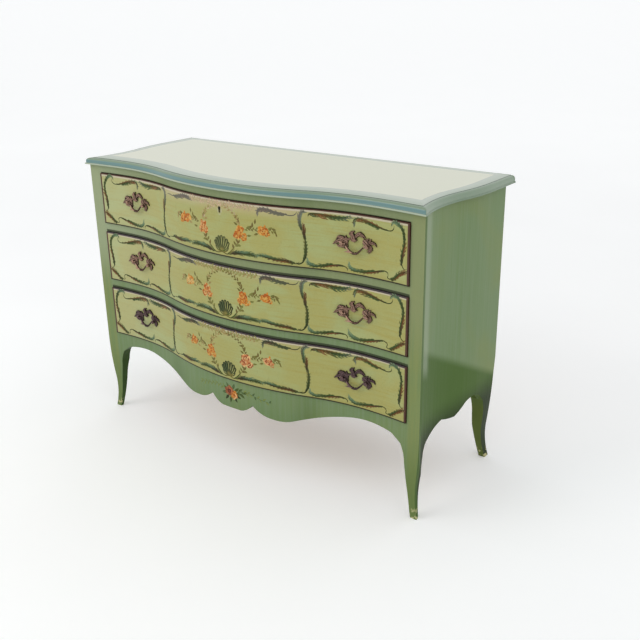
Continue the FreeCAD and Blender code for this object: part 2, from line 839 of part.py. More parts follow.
def make_bail():
    """A drop handle: pins, two slanting arms and a rounded bottom, with a thicker grip."""
    y = -bail_axis_out
    top_z = bail_axis_up
    pin_end = post_spacing / 2 + bail_pin_reach() - bail_pin_clearance
    pins = []
    for side in (-1, 1):
        inner = side * bail_arm_x()
        pins.append(rod(bail_pin_radius, pin_end - bail_arm_x(), V(inner, y, top_z), V(side, 0, 0)))
        pins.append(Part.makeSphere(bail_wire_radius * bail_round_end_share, V(inner, y, top_z)))
    low_x, low_z = bail_tangent_point()
    bend_z = top_z - bail_drop + bail_bottom_radius
    start = V(-bail_arm_x(), y, top_z)
    low = V(low_x, y, bend_z + low_z)
    middle = V(0, y, top_z - bail_drop)
    low_right = V(-low_x, y, low.z)
    path = Part.Wire([line(start, low), arc_through(low, middle, low_right),
                      line(low_right, V(-start.x, y, top_z))])
    profile = Part.Wire(Part.makeCircle(bail_wire_radius, start, low - start))
    wire = path.makePipeShell([profile], True, False)
    half_grip = bail_grip_length / 2
    grip = rod(bail_grip_radius, bail_grip_length, V(-half_grip, y, middle.z), V(1, 0, 0))
    end_radius = bail_grip_radius * bail_round_end_share
    ends = [Part.makeSphere(end_radius, V(side * half_grip, y, middle.z)) for side in (-1, 1)]
    return wire.fuse(pins + [grip, bail_sprig(start, low)] + ends).removeSplitter()


def bail_sprig(arm_top, arm_low):
    """The small leaf cast on the lower left of the bail."""
    tail = arm_top + (arm_low - arm_top) * bail_sprig_place_share
    start = tail + V(-bail_sprig_width / 2, bail_sprig_thickness / 2, 0)
    end = start + V(bail_sprig_length, 0, -bail_sprig_fall)
    middle = (start + end) * 0.5
    across = (end - start).cross(V(0, 1, 0)).normalize() * (bail_sprig_width / 2)
    face = Part.Face(Part.Wire([arc_through(start, middle + across, end),
                                arc_through(end, middle - across, start)]))
    return face.extrude(V(0, -bail_sprig_thickness, 0))


def pull_seat(side, floor_z):
    """Place of a pull on the drawer's face, and its turn about +Z."""
    x = side * pull_from_centre
    turn = front_turn(x)
    normal = V(math.sin(math.radians(turn)), -math.cos(math.radians(turn)), 0)
    place = V(x, front_y(x), floor_z + opening_height / 2) + normal * drawer_front_proud
    return place, turn


def set_on_drawer(shape, side, floor_z):
    place, turn = pull_seat(side, floor_z)
    moved = shape.copy()
    moved.rotate(V(0, 0, 0), UP, turn)
    moved.translate(place)
    return moved


def pull_screw_holes(floor_z):
    holes = []
    for side in (-1, 1):
        for x, z in screw_places():
            hole = rod(pull_screw_hole_radius, 2 * drawer_front_thickness,
                       V(x, -drawer_front_thickness / 2, z), INWARDS)
            holes.append(set_on_drawer(hole, side, floor_z))
    return holes


def make_pull_screws(floor_z):
    solids = []
    for side in (-1, 1):
        for x, z in screw_places():
            seat_y = drawer_front_thickness + pull_screw_seat_rise(x)
            reach = seat_y + pull_screw_bite - pull_screw_head_gap
            shank = rod(pull_screw_radius, reach, V(x, seat_y, z), OUT)
            head = rod(pull_screw_head_radius, pull_screw_head_height, V(x, seat_y, z), INWARDS)
            solids.append(set_on_drawer(shank.fuse(head).removeSplitter(), side, floor_z))
    return Part.makeCompound(solids)


def pull_screw_seat_rise(x):
    """The drawer front curves forward away from the pull's middle, and a flat head rests on its inner edge."""
    radius = hollow_radius - front_inner_offset
    inner_edge = abs(x) - pull_screw_head_radius
    return math.sqrt(radius ** 2 - inner_edge ** 2) - radius + pull_screw_head_gap


# The whole piece

def make_case():
    z_bottom = bottom_opening_floor
    runners = {}
    case = {}
    fits = top_screw_holes(top_screw_radius + top_screw_hole_clearance, top_opening_top, top_underside)
    case["top_panel"] = make_top_panel().cut(
        top_screw_holes(top_screw_radius + top_screw_hole_clearance, top_underside - overrun,
                        top_underside + top_screw_hole_depth))
    case["top_rail"] = front_rail(top_opening_top, top_underside).cut(fits).cut(lock_mortise())
    case["back_top_rail"] = rear_rail(top_opening_top, top_underside).cut(fits)
    for side, kicker in zip(("right", "left"), runner_pair(top_opening_top, top_underside)):
        case[side + "_kicker"] = kicker.cut(fits)
    case["top_screws"] = make_top_screws()

    guides = []
    for index, level in enumerate(("bottom",) + level_names):
        floor_z = z_bottom + index * level_pitch
        low = floor_z - rail_height
        middle = floor_z - rail_height / 2
        groove = dust_panel(middle, groove_clearance)
        if index:
            case[level + "_rail"] = front_rail(low, floor_z).cut(groove)
            case[level + "_rear_rail"] = rear_rail(low, floor_z).cut(groove)
        pair = [runner.cut(groove) for runner in runner_pair(low, floor_z)]
        runners[level] = Part.makeCompound(pair)
        case[level + "_dust_panel"] = dust_panel(middle, 0.0)
        guides.append(centre_guide(floor_z, middle + dust_panel_thickness / 2))
        if not index:
            case["front_apron"] = make_front_apron()
            case["bottom_rail"] = make_bottom_rail().cut(groove)
            case["back_bottom_rail"] = rear_rail(floor_z - back_bottom_rail_height, floor_z).cut(groove)
    for level, pair in runners.items():
        case[level + "_runners"] = pair
    case["centre_guides"] = Part.makeCompound(guides)

    panel_low = z_bottom - rail_height
    case["back_panel"] = box(-back_leg_inner_x, back_leg_inner_x, panel_front_y, panel_back_y,
                             panel_low, top_underside)
    for name, maker in (("front_leg", make_front_leg), ("back_leg", make_back_leg),
                        ("side_panel", make_side_panel)):
        right = maker()
        end, kind = name.split("_")
        if kind == "leg":
            case[end + "_right_leg"] = right
            case[end + "_left_leg"] = mirrored(right)
        else:
            case["right_side_panel"] = right
            case["left_side_panel"] = mirrored(right)
    return case


def make_drawers():
    nodes = {}
    plate = make_pull_plate()
    bail = make_bail()
    for index, name in enumerate(drawer_names):
        floor_z = bottom_opening_floor + index * level_pitch
        with_lock = name == "top"
        drawer = make_drawer(floor_z, with_lock)
        for part, shape in drawer.items():
            nodes[name + "_drawer_" + part] = shape
        face = front_band(half_opening - drawer_gap, drawer_front_proud, front_inner_offset,
                          floor_z + drawer_gap, floor_z + opening_height - drawer_gap)
        for side, hand in ((-1, "left"), (1, "right")):
            nodes[name + "_" + hand + "_pull_plate"] = set_on_drawer(plate, side, floor_z).cut(face)
            nodes[name + "_" + hand + "_pull_bail"] = set_on_drawer(bail, side, floor_z)
        nodes[name + "_pull_screws"] = make_pull_screws(floor_z)
        if with_lock:
            nodes["lock_case"] = make_lock_case(floor_z)
            nodes["lock_bolt"] = make_lock_bolt(floor_z)
    return nodes


def main():
    os.makedirs("parts", exist_ok=True)
    for name, shape in {**make_case(), **make_drawers()}.items():
        save(name, shape)
    for side, hand in ((-1, "left"), (1, "right")):
        for index, name in enumerate(drawer_names):
            place, turn = pull_seat(side, bottom_opening_floor + index * level_pitch)
            out = V(math.sin(math.radians(turn)), -math.cos(math.radians(turn)), 0)
            axis = place + out * bail_axis_out + UP * bail_axis_up
            print(name, hand, "bail axis at", [round(v, 3) for v in axis], "turned", round(turn, 4))


main()
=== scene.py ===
"""Looks of the three-drawer painted dresser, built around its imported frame."""

import math
import random

import bpy
from mathutils import Matrix, Vector
from mathutils.bvhtree import BVHTree


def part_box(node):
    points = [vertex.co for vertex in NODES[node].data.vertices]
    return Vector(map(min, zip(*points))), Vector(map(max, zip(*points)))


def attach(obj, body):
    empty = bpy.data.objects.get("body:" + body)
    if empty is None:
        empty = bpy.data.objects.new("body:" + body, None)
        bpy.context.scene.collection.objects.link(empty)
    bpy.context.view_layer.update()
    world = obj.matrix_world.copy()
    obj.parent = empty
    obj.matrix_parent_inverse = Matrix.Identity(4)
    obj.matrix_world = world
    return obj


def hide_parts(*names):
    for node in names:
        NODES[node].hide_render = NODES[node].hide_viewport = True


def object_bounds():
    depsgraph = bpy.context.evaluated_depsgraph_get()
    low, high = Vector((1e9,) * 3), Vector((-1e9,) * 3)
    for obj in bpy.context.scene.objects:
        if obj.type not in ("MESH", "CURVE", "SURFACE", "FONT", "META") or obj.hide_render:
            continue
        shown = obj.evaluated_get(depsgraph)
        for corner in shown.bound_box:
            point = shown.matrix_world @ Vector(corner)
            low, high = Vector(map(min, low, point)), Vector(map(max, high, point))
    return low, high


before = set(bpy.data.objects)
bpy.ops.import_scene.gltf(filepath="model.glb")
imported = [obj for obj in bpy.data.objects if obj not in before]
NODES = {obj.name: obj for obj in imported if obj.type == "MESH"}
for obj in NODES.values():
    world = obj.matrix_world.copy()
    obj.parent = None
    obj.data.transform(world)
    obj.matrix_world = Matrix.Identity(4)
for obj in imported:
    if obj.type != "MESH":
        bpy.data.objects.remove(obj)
cad_low, cad_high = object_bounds()
MM = 0.001
METRE = 1000.0

DRAWERS = ("bottom", "middle", "top")
HANDS = (("left", -1), ("right", 1))


# Sizes, in millimetres

TOP_HEIGHT = cad_high.z * METRE
TOP_BACK = cad_high.y * METRE
TOP_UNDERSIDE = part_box("top_panel")[0].z * METRE
HALF_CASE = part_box("front_right_leg")[1].x * METRE
FRONT_PROUD = 5.0

BOW_DEPTH = 67.7
CORNER_RUN = 160.0
CORNER_RISE = 11.2
BOW_SHARE = 0.58
TOP_FRONT_OVERHANG = 13.0
TOP_SIDE_OVERHANG = 11.0
HOLLOW_FROM_CENTRE = HALF_CASE - CORNER_RUN
BOW_Y = cad_low.y * METRE + TOP_FRONT_OVERHANG
HOLLOW_Y = BOW_Y + BOW_DEPTH
BOW_TURN = 2 * math.atan(BOW_DEPTH / HOLLOW_FROM_CENTRE)
RADIUS_SUM = HOLLOW_FROM_CENTRE / math.sin(BOW_TURN)
BOW_RADIUS = BOW_SHARE * RADIUS_SUM
HOLLOW_RADIUS = RADIUS_SUM - BOW_RADIUS
CORNER_RADIUS = (CORNER_RUN ** 2 + CORNER_RISE ** 2) / (2 * CORNER_RISE)

SIDE_HOLLOW_DEPTH = 18.0
SIDE_HOLLOW_RUN = 115.0
SIDE_SWELL_RUN = 225.0
TOP_SWELL_RISE = 25.0
SIDE_INFLECTION_SHARE = 0.4


def srgb(red, green, blue):
    """Linear colour of an everyday 0 to 255 colour."""
    def linear(value):
        share = value / 255
        return share / 12.92 if share <= 0.04045 else ((share + 0.055) / 1.055) ** 2.4
    return tuple(linear(v) for v in (red, green, blue)) + (1.0,)


def blend(a, b, share):
    return tuple(x + (y - x) * share for x, y in zip(a, b))


def shaded(colour, factor):
    return tuple(v * factor for v in colour[:3]) + (1.0,)


def ramp(share):
    """A share held between 0 and 1."""
    return min(max(share, 0.0), 1.0)


def colour_along(colours, share):
    """The colour at a share of the way along a row of one or more."""
    place = ramp(share) * (len(colours) - 1)
    index = min(int(place), len(colours) - 2)
    return blend(colours[index], colours[index + 1], place - index)


# The plan lines of the front and the sides

def front_y(x, offset=0.0):
    """Y of the serpentine front at x, moved towards the viewer by offset."""
    x = abs(x)
    if x <= (BOW_RADIUS + offset) * math.sin(BOW_TURN):
        return BOW_Y + BOW_RADIUS - math.sqrt((BOW_RADIUS + offset) ** 2 - x ** 2)
    radius = HOLLOW_RADIUS if x <= HOLLOW_FROM_CENTRE else CORNER_RADIUS
    return HOLLOW_Y - radius + math.sqrt((radius - offset) ** 2 - (x - HOLLOW_FROM_CENTRE) ** 2)


def front_turn(x):
    """Angle of the front line at x, about +Z."""
    if abs(x) <= BOW_RADIUS * math.sin(BOW_TURN):
        return math.asin(x / BOW_RADIUS)
    radius = HOLLOW_RADIUS if abs(x) <= HOLLOW_FROM_CENTRE else CORNER_RADIUS
    return math.copysign(math.asin((HOLLOW_FROM_CENTRE - abs(x)) / radius), x)


# The right side line of the top, hollowed behind the front corner

TOP_CORNER_X = HALF_CASE + TOP_SIDE_OVERHANG
SIDE_HOLLOW_X = TOP_CORNER_X - SIDE_HOLLOW_DEPTH
SIDE_HOLLOW_Y = front_y(TOP_CORNER_X, TOP_FRONT_OVERHANG) + SIDE_HOLLOW_RUN
SIDE_SWELL_X = SIDE_HOLLOW_X + TOP_SWELL_RISE
SIDE_SWELL_Y = SIDE_HOLLOW_Y + SIDE_SWELL_RUN
SIDE_TURN = 2 * math.atan(TOP_SWELL_RISE / SIDE_SWELL_RUN)
SIDE_RADIUS_SUM = SIDE_SWELL_RUN / math.sin(SIDE_TURN)
SIDE_HOLLOW_RADIUS = SIDE_INFLECTION_SHARE * SIDE_RADIUS_SUM
SIDE_SWELL_RADIUS = SIDE_RADIUS_SUM - SIDE_HOLLOW_RADIUS
SIDE_CORNER_RADIUS = (SIDE_HOLLOW_RUN ** 2 + SIDE_HOLLOW_DEPTH ** 2) / (2 * SIDE_HOLLOW_DEPTH)


def top_side_x(y, inset):
    """X of the top's right side at y, moved inwards by inset."""
    if y <= SIDE_HOLLOW_Y + (SIDE_HOLLOW_RADIUS + inset) * math.sin(SIDE_TURN):
        radius = SIDE_CORNER_RADIUS if y <= SIDE_HOLLOW_Y else SIDE_HOLLOW_RADIUS
        return SIDE_HOLLOW_X + radius - math.sqrt((radius + inset) ** 2 - (y - SIDE_HOLLOW_Y) ** 2)
    if y <= SIDE_SWELL_Y:
        radius = SIDE_SWELL_RADIUS
        return SIDE_SWELL_X - radius + math.sqrt((radius - inset) ** 2 - (SIDE_SWELL_Y - y) ** 2)
    return SIDE_SWELL_X - inset


# Mesh helpers

def smooth_line(points, count):
    """Count places, evenly spaced in share, on a Catmull-Rom line through a few given points."""
    first = [2 * a - b for a, b in zip(points[0], points[1])]
    last = [2 * a - b for a, b in zip(points[-1], points[-2])]
    knots = [first] + [list(p) for p in points] + [last]
    spans = len(points) - 1
    line = []
    for step in range(count):
        place = step / (count - 1) * spans
        index = min(int(place), spans - 1)
        t = place - index
        a, b, c, d = knots[index:index + 4]
        line.append([0.5 * (2 * q + (r - p) * t + (2 * p - 5 * q + 4 * r - s) * t * t
                            + (3 * q - p - 3 * r + s) * t ** 3) for p, q, r, s in zip(a, b, c, d)])
    return line


def beside(line, index):
    """The places before and after one on a line; at its ends, the end itself."""
    return line[max(index - 1, 0)], line[min(index + 1, len(line) - 1)]


def across_at(line, index):
    """Unit direction to the left of a line at one of its places, in its first two axes."""
    before, after = beside(line, index)
    run = math.dist(before[:2], after[:2]) or 1.0
    return -(after[1] - before[1]) / run, (after[0] - before[0]) / run


def at_share(line, share):
    """The place at a share of a line, and the one after it."""
    last = len(line) - 2
    index = min(max(int(share * last), 0), last)
    return line[index], line[index + 1]


def towards(place, angle, distance):
    """The place at a distance from another, in the direction of an angle in radians."""
    return place[0] + math.cos(angle) * distance, place[1] + math.sin(angle) * distance


class Sheet:
    """Points, faces and paint of one piece, in millimetres."""

    def __init__(self):
        self.points = []
        self.faces = []
        self.paint = []

    def add(self, point, colour):
        self.points.append(point)
        self.paint.append(colour)
        return len(self.points) - 1

    def grid(self, rows, closed=False, flip=False):
        """Quads between rows of point numbers; closed joins the ends of each row."""
        for low, high in zip(rows, rows[1:]):
            count = len(low)
            for i in range(count if closed else count - 1):
                j = (i + 1) % count
                face = (low[i], low[j], high[j], high[i])
                self.faces.append(face[::-1] if flip else face)

    def cap(self, first, last):
        """Faces over the two ends of a tube of rows, the second turned over."""
        self.faces += [tuple(first), tuple(reversed(last))]

    def mesh(self, name, material):
        mesh = bpy.data.meshes.new(name)
        mesh.from_pydata([[v * MM for v in p] for p in self.points], [], self.faces)
        layer = mesh.color_attributes.new(name="paint", type="FLOAT_COLOR", domain="POINT")
        for index, colour in enumerate(self.paint):
            layer.data[index].color = colour
        mesh.polygons.foreach_set("use_smooth", [True] * len(mesh.polygons))
        mesh.materials.append(material)
        mesh.validate()
        return mesh

    def make(self, name, material, body, slot):
        return put(name, self.mesh(name, material), body)


def put(name, mesh, body, place=None):
    """An object for a mesh, riding on a body."""
    piece = bpy.data.objects.new(name, mesh)
    bpy.context.scene.collection.objects.link(piece)
    if place is not None:
        piece.matrix_world = place
    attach(piece, body)
    return piece


# Materials

class Value:
    """A node's output; its sums, products and soft steps are further nodes."""

    def __init__(self, shader, socket):
        self.shader = shader
        self.socket = socket

    def __add__(self, other):
        return self.shader.math("ADD", self, other)

    def __sub__(self, other):
        return self.shader.math("SUBTRACT", self, other)

    def __rsub__(self, other):
        return self.shader.math("SUBTRACT", other, self)

    def __mul__(self, other):
        return self.shader.math("MULTIPLY", self, other)

    def __abs__(self):
        return self.shader.math("ABSOLUTE", self)

    def step(self, low, high, start=0.0, end=1.0):
        """A soft step: start below low, end above high."""
        return self.shader.node("MapRange", {0: self, 1: low, 2: high, 3: start, 4: end},
                                interpolation_type="SMOOTHSTEP")


class Shader:
    """A material being built; each call adds a node and gives its output."""

    def __init__(self, name, roughness=0.5, metallic=0.0, coat=0.0, coat_roughness=0.1, specular=0.5):
        self.material = bpy.data.materials.new(name)
        self.material.use_nodes = True
        self.tree = self.material.node_tree
        self.surface = self.tree.nodes["Principled BSDF"].inputs
        for key, value in (("Roughness", roughness), ("Metallic", metallic), ("Coat Weight", coat),
                           ("Coat Roughness", coat_roughness), ("Specular IOR Level", specular)):
            self.surface[key].default_value = value
        coordinates = self.tree.nodes.new("ShaderNodeTexCoord").outputs
        self.place = Value(self, coordinates["Object"])
        self.normal = Value(self, coordinates["Normal"])

    def put(self, socket, value):
        if isinstance(value, Value):
            self.tree.links.new(value.socket, socket)
        else:
            socket.default_value = value

    def node(self, kind, inputs, output=0, **settings):
        made = self.tree.nodes.new("ShaderNode" + kind)
        for key, value in settings.items():
            setattr(made, key, value)
        for key, value in inputs.items():
            self.put(made.inputs[key], value)
        return Value(self, made.outputs[output])

    def axes(self, vector):
        made = self.tree.nodes.new("ShaderNodeSeparateXYZ")
        self.put(made.inputs[0], vector)
        return [Value(self, socket) for socket in made.outputs]

    def stretched(self, scale):
        return self.node("VectorMath", {0: self.place, 1: scale}, operation="MULTIPLY")

    def math(self, operation, a, b=0.0):
        return self.node("Math", {0: a, 1: b}, operation=operation)

    def noise(self, scale, detail=3.0, roughness=0.5, distortion=0.0, stretch=None):
        place = self.stretched(stretch) if stretch else self.place
        return self.node("TexNoise", {"Vector": place, "Scale": scale, "Detail": detail,
                                      "Roughness": roughness, "Distortion": distortion})

    def painted(self):
        """The piece's own paint layer."""
        return self.node("Attribute", {}, "Color", attribute_name="paint")

    def mix(self, share, a, b, blend_type="MIX"):
        return self.node("Mix", {0: share, 6: a, 7: b}, output=2, data_type="RGBA", blend_type=blend_type)

    def layers(self, colour, *coats):
        """A colour with coats of (share, colour) laid over it in turn."""
        for share, coat in coats:
            colour = self.mix(share, colour, coat)
        return colour

    def bump(self, height, strength, distance):
        return self.node("Bump", {"Height": height, "Strength": strength, "Distance": distance})

    def done(self, colour, roughness=None, normal=None):
        for key, value in (("Base Color", colour), ("Roughness", roughness), ("Normal", normal)):
            if value is not None:
                self.put(self.surface[key], value)
        return self.material


WOOD_LIGHT = srgb(196, 164, 118)
WOOD_DARK = srgb(150, 112, 70)
INNER_LIGHT = srgb(168, 132, 92)
INNER_DARK = srgb(118, 84, 54)
PLY_LIGHT = srgb(190, 160, 118)
PLY_DARK = srgb(160, 128, 88)
PLY_ROUGHNESS = 0.65

GREEN = srgb(116, 138, 94)
GREEN_GREY = srgb(124, 143, 106)
GREEN_OLIVE = srgb(134, 142, 80)
# Painted shade and reflection: the deep green low on the sides and legs and in the line by the front corners
SHADE_GREEN = srgb(73, 101, 38)
GREEN_UPPER = srgb(144, 150, 110)
LEG_INNER_SHADE = srgb(40, 62, 36)
LEG_SHADE = srgb(26, 40, 8)
LEG_OLIVE = srgb(98, 110, 54)
# Painted light on the upper left of the front
LEFT_LIGHT_GREEN = srgb(190, 204, 178)
# Painted highlight on the sides just behind the front corners
ARRIS_HIGHLIGHT = srgb(160, 172, 146)
CHIP_CREAM = srgb(206, 198, 148)
RAIL_SHADOW = srgb(52, 58, 40)
EDGE_BROWN = srgb(82, 52, 42)
EDGE_GREY = srgb(70, 60, 62)
EDGE_DARK = srgb(46, 42, 24)
REFLECTION_HAZE = srgb(196, 176, 142)
FIELD = srgb(169, 166, 99)
FIELD_PALE = srgb(168, 175, 116)
FIELD_OCHRE = srgb(164, 150, 74)
LEFT_LIGHT_FIELD = srgb(206, 208, 172)
TOP_EDGE_HIGHLIGHT = srgb(200, 188, 164)


def wood(name, light, dark, along, roughness=0.55):
    """Plain wood with its grain along one axis: 0, 1 or 2."""
    shader = Shader(name, roughness)
    fine, broad = [70.0] * 3, [9.0] * 3
    fine[along], broad[along] = 3.0, 1.2
    figure = shader.noise(2.0, 3.0, 0.6, 1.4, broad)
    pores = shader.noise(3.0, 4.0, 0.7, stretch=fine)
    colour = shader.layers(light, (figure.step(0.32, 0.68), dark),
                           (pores.step(0.52, 0.72, 0.0, 0.35), shaded(dark, 0.6)))
    return shader.done(colour, pores.step(0.3, 0.8, roughness - 0.08, roughness + 0.12),
                       shader.bump(pores, 0.15, 0.0006))


def bare_wood(shader, light, dark):
    """The unpainted back of a painted board."""
    grain = shader.noise(3.0, 4.0, 0.7, stretch=(4.0, 60.0, 60.0))
    return shader.mix(grain.step(0.35, 0.65), light, dark)


# Where the green changes, in metres, by its paint and by painted light and shade: each range runs from where
# a tone begins to where it is full
CORNER_OLIVE_X = (0.566, 0.578)
CORNER_OLIVE_Y = (-0.172, -0.180)
SIDE_Y = (-0.150, -0.120)
# Painted reflection: the sides are deeper in tone below a line that falls towards the back
TONE_SLOPE = 0.5
TONE_HEIGHT = 0.398
TONE_SOFT = 0.016
# Painted shade low down: all faces darken towards the floor, the legs' outward faces most
FOOT_Z = (0.30, 0.06)
UPPER_Z = (0.42, 0.62)
LEFT_LIGHT_X = (-0.25, -0.58)
LEG_Z = (0.30, 0.20)
BACK_LEG_Y = (0.05, 0.10)
BACK_LEG_Z = (0.26, 0.16)
# Painted highlight and a painted shade line on the sides, measured back from the front corner
ARRIS_Y = front_y(HALF_CASE) * MM
ARRIS_HIGHLIGHT_BEHIND = (0.068, 0.042)
ARRIS_HIGHLIGHT_RISE = (0.315, 0.365)
LINE_BEHIND = (0.022, 0.014)
INSIDE_Y = (0.0, -0.1)
CHIPS_Z = (0.040, 0.012)


def green_paint(shader):
    """Colour, streaks and small relief of the brushed green paint, with painted shade, reflection and
    highlight laid into the colour.
    """
    x, y, z = shader.axes(shader.place)
    normal = shader.axes(shader.normal)[0]
    facing = abs(normal)
    outward = normal * shader.math("SIGN", x)
    streaks = shader.noise(3.0, 4.0, 0.6, stretch=(38.0, 38.0, 1.4))
    clouds = shader.noise(3.2, 3.0, 0.55, 0.6)
    specks = shader.noise(260.0, 2.0, 0.6)
    slope = z + y * TONE_SLOPE
    behind = y - ARRIS_Y
    # Olive streaks along the front corners
    corner_olive = abs(x).step(*CORNER_OLIVE_X) * y.step(*CORNER_OLIVE_Y) * streaks.step(0.3, 0.62, 0.2, 0.6)
    side = shader.math("MAXIMUM", facing.step(0.4, 0.6), y.step(*SIDE_Y))
    # Painted reflection: the sides deeper green below the sloping tone line
    low = side * slope.step(TONE_HEIGHT + TONE_SOFT, TONE_HEIGHT - TONE_SOFT) * 0.95
    # The upper front paler, and towards the left painted light over it
    upper = facing.step(0.5, 0.3) * z.step(*UPPER_Z, 0.0, 0.55)
    # Painted shade low on the legs: near black on outward faces, an olive shade on the back legs' other
    # faces
    leg = outward.step(0.2, 0.5) * z.step(*LEG_Z, 0.0, 0.9)
    back_leg = y.step(*BACK_LEG_Y) * outward.step(0.5, 0.2) * z.step(*BACK_LEG_Z, 0.0, 0.8)
    # Painted highlight on the side just behind the front corner, above a sloping line; nearer the corner, a
    # painted shade line
    arris_highlight = behind.step(*ARRIS_HIGHLIGHT_BEHIND) * slope.step(*ARRIS_HIGHLIGHT_RISE, 0.0, 0.55) * facing.step(0.7, 0.9)
    line = behind.step(*LINE_BEHIND) * facing.step(0.2, 0.5, 0.0, 0.86)
    # Painted shade on the front legs' inward faces
    inside = outward.step(-0.3, -0.6, 0.0, 0.6) * y.step(*INSIDE_Y)
    chips = z.step(*CHIPS_Z) * shader.noise(95.0, 2.0).step(0.56, 0.60, 0.0, 0.8)
    colour = shader.layers(
        GREEN, (streaks.step(0.36, 0.66), GREEN_GREY), (clouds.step(0.45, 0.75, 0.0, 0.45), GREEN_OLIVE),
        (corner_olive, GREEN_OLIVE), (low, SHADE_GREEN), (z.step(*FOOT_Z, 0.0, 0.5), SHADE_GREEN),
        (upper, GREEN_UPPER), (upper * x.step(*LEFT_LIGHT_X, 0.0, 0.5), LEFT_LIGHT_GREEN), (leg, LEG_SHADE),
        (back_leg, LEG_OLIVE), (arris_highlight, ARRIS_HIGHLIGHT), (line, SHADE_GREEN), (inside, LEG_INNER_SHADE),
        (chips, CHIP_CREAM), (specks.step(0.62, 0.74, 0.0, 0.22), shaded(GREEN_OLIVE, 0.6)))
    return colour, streaks, streaks + specks * 0.25


def painted_green(name, axis=None, low_edge=0.0, strip=0.0):
    """Green paint all over or, with an axis, on the outward faces only, with a painted shadow along the low
    edge.
    """
    shader = Shader(name, 0.42, specular=0.12)
    x, _, z = shader.axes(shader.place)
    colour, streaks, relief = green_paint(shader)
    if strip:
        # Painted shadow along the rail's low edge, in the gap over the drawer below
        colour = shader.mix(z.step(low_edge + strip + MM, low_edge + strip, 0.0, 0.85), colour, RAIL_SHADOW)
    if axis is not None:
        outward = shader.axes(shader.normal)[axis] * (shader.math("SIGN", x) if axis == 0 else -1.0)
        colour = shader.mix(outward.step(-0.35, -0.2), bare_wood(shader, INNER_LIGHT, INNER_DARK), colour)
    return shader.done(colour, streaks.step(0.3, 0.7, 0.38, 0.5), shader.bump(relief, 0.12, 0.0008))


def painted_drawer(name, low, high, rim_colour, rim_low, haze):
    """The yellow-green field of a drawer's front, its dark edges and the lines along them; the top and
    bottom rims are partly painted shadow, and painted light, reflection and highlight lie on the field.
    """
    shader = Shader(name, 0.4, specular=0.25)
    x, _, z = shader.axes(shader.place)
    clouds = shader.noise(5.5, 3.0, 0.55, 0.8, (1.0, 1.0, 1.5))
    drags = shader.noise(3.0, 4.0, 0.65, stretch=(2.5, 2.5, 60.0))
    uprights = shader.noise(3.0, 3.0, 0.6, stretch=(55.0, 1.0, 2.0))
    specks = shader.noise(330.0, 2.0, 0.6)
    cracks = shader.node("TexVoronoi", {"Vector": shader.stretched((1.0, 1.0, 0.6)), "Scale": 150.0},
                         feature="DISTANCE_TO_EDGE")
    from_top, from_side, from_bottom = high.z - z, high.x - abs(x), z - low.z
    nearest = shader.math("MINIMUM", shader.math("MINIMUM", from_top, from_side), from_bottom)
    wobble = shader.noise(90.0, 2.0) * 0.0011
    # Darker within 16 mm of the front's edges, where its clouds are
    darker_near_edges = nearest.step(0.016, 0.0, 0.0, 0.45) * clouds
    # Painted reflection: a pale haze under the top edge, in the middle
    misty = abs(x).step(0.30, 0.20) * from_top.step(0.042, 0.004, 0.0, haze)
    # Painted highlight: a pale line under the top rim
    pale = from_top.step(0.0090, 0.0065) * drags.step(0.3, 0.5, 0.4, 0.9)
    frontal, upward = shader.axes(shader.normal)[1:3]
    frontal *= -1.0
    colour = shader.layers(
        FIELD, (clouds.step(0.42, 0.66), FIELD_PALE), (drags.step(0.45, 0.72, 0.0, 0.5), FIELD_OCHRE),
        (uprights.step(0.5, 0.75, 0.0, 0.2), shaded(FIELD_PALE, 0.9)),
        (specks.step(0.64, 0.74, 0.0, 0.3), shaded(FIELD_OCHRE, 0.55)),
        (cracks.step(0.05, 0.0, 0.0, 0.16), shaded(FIELD_OCHRE, 0.5)), (darker_near_edges, shaded(FIELD_OCHRE, 0.72)),
        # Painted light towards the left; then the painted reflection and the painted highlight line
        (x.step(-0.25, -0.48, 0.0, 0.22), LEFT_LIGHT_FIELD), (misty, REFLECTION_HAZE), (pale, TOP_EDGE_HIGHLIGHT),
        # Dark rims at the top, sides and bottom: edge paint, at the top and bottom widened as painted shadow
        ((from_top + wobble).step(rim_low, rim_low - MM), rim_colour),
        ((from_side + wobble).step(0.0064, 0.0056), EDGE_BROWN),
        ((from_bottom + wobble).step(0.0045, 0.0036), EDGE_DARK),
        (frontal.step(0.8, 0.6), EDGE_BROWN), (upward.step(0.4, 0.7), rim_colour),
        (frontal.step(-0.6, -0.8), bare_wood(shader, WOOD_LIGHT, WOOD_DARK)))
    return shader.done(colour, clouds.step(0.3, 0.7, 0.3, 0.42),
                       shader.bump(specks * 0.3 + drags, 0.1, 0.0006))


def back_border(shader, painted):
    """The border along the back of the top's flat face, over its paint."""
    _, y, z = shader.axes(shader.place)
    level = z.step(TOP_HEIGHT * MM - 0.0003, TOP_HEIGHT * MM - 0.0001)
    near = (TOP_BACK - BACK_BORDER) * MM
    return shader.layers(painted, (level * y.step(near - 0.0022, near - 0.0016), BORDER_LINE),
                         (level * y.step(near - 0.0004, near + 0.0002), BORDER))


def brushed(shader, painted, roughness, spread, streak_scale, streak_share, relief):
    """Brushed paint: darker in its streaks."""
    streaks = shader.noise(3.0, 4.0, 0.65, stretch=streak_scale)
    dark = shader.mix(1.0, painted, (0.62, 0.62, 0.6, 1.0), "MULTIPLY")
    return shader.done(shader.mix(streaks.step(0.35, 0.7, streak_share, 0.0), painted, dark),
                       streaks.step(0.3, 0.7, roughness - spread, roughness + spread),
                       shader.bump(streaks, relief, 0.0005))


def painted_top():
    roughness = 0.3
    shader = Shader("painted_top", roughness, coat=0.25, coat_roughness=0.18, specular=0.5)
    painted = back_border(shader, shader.painted())
    return brushed(shader, painted, roughness, 0.012, (3.0, 30.0, 30.0), 0.05, 0.03)


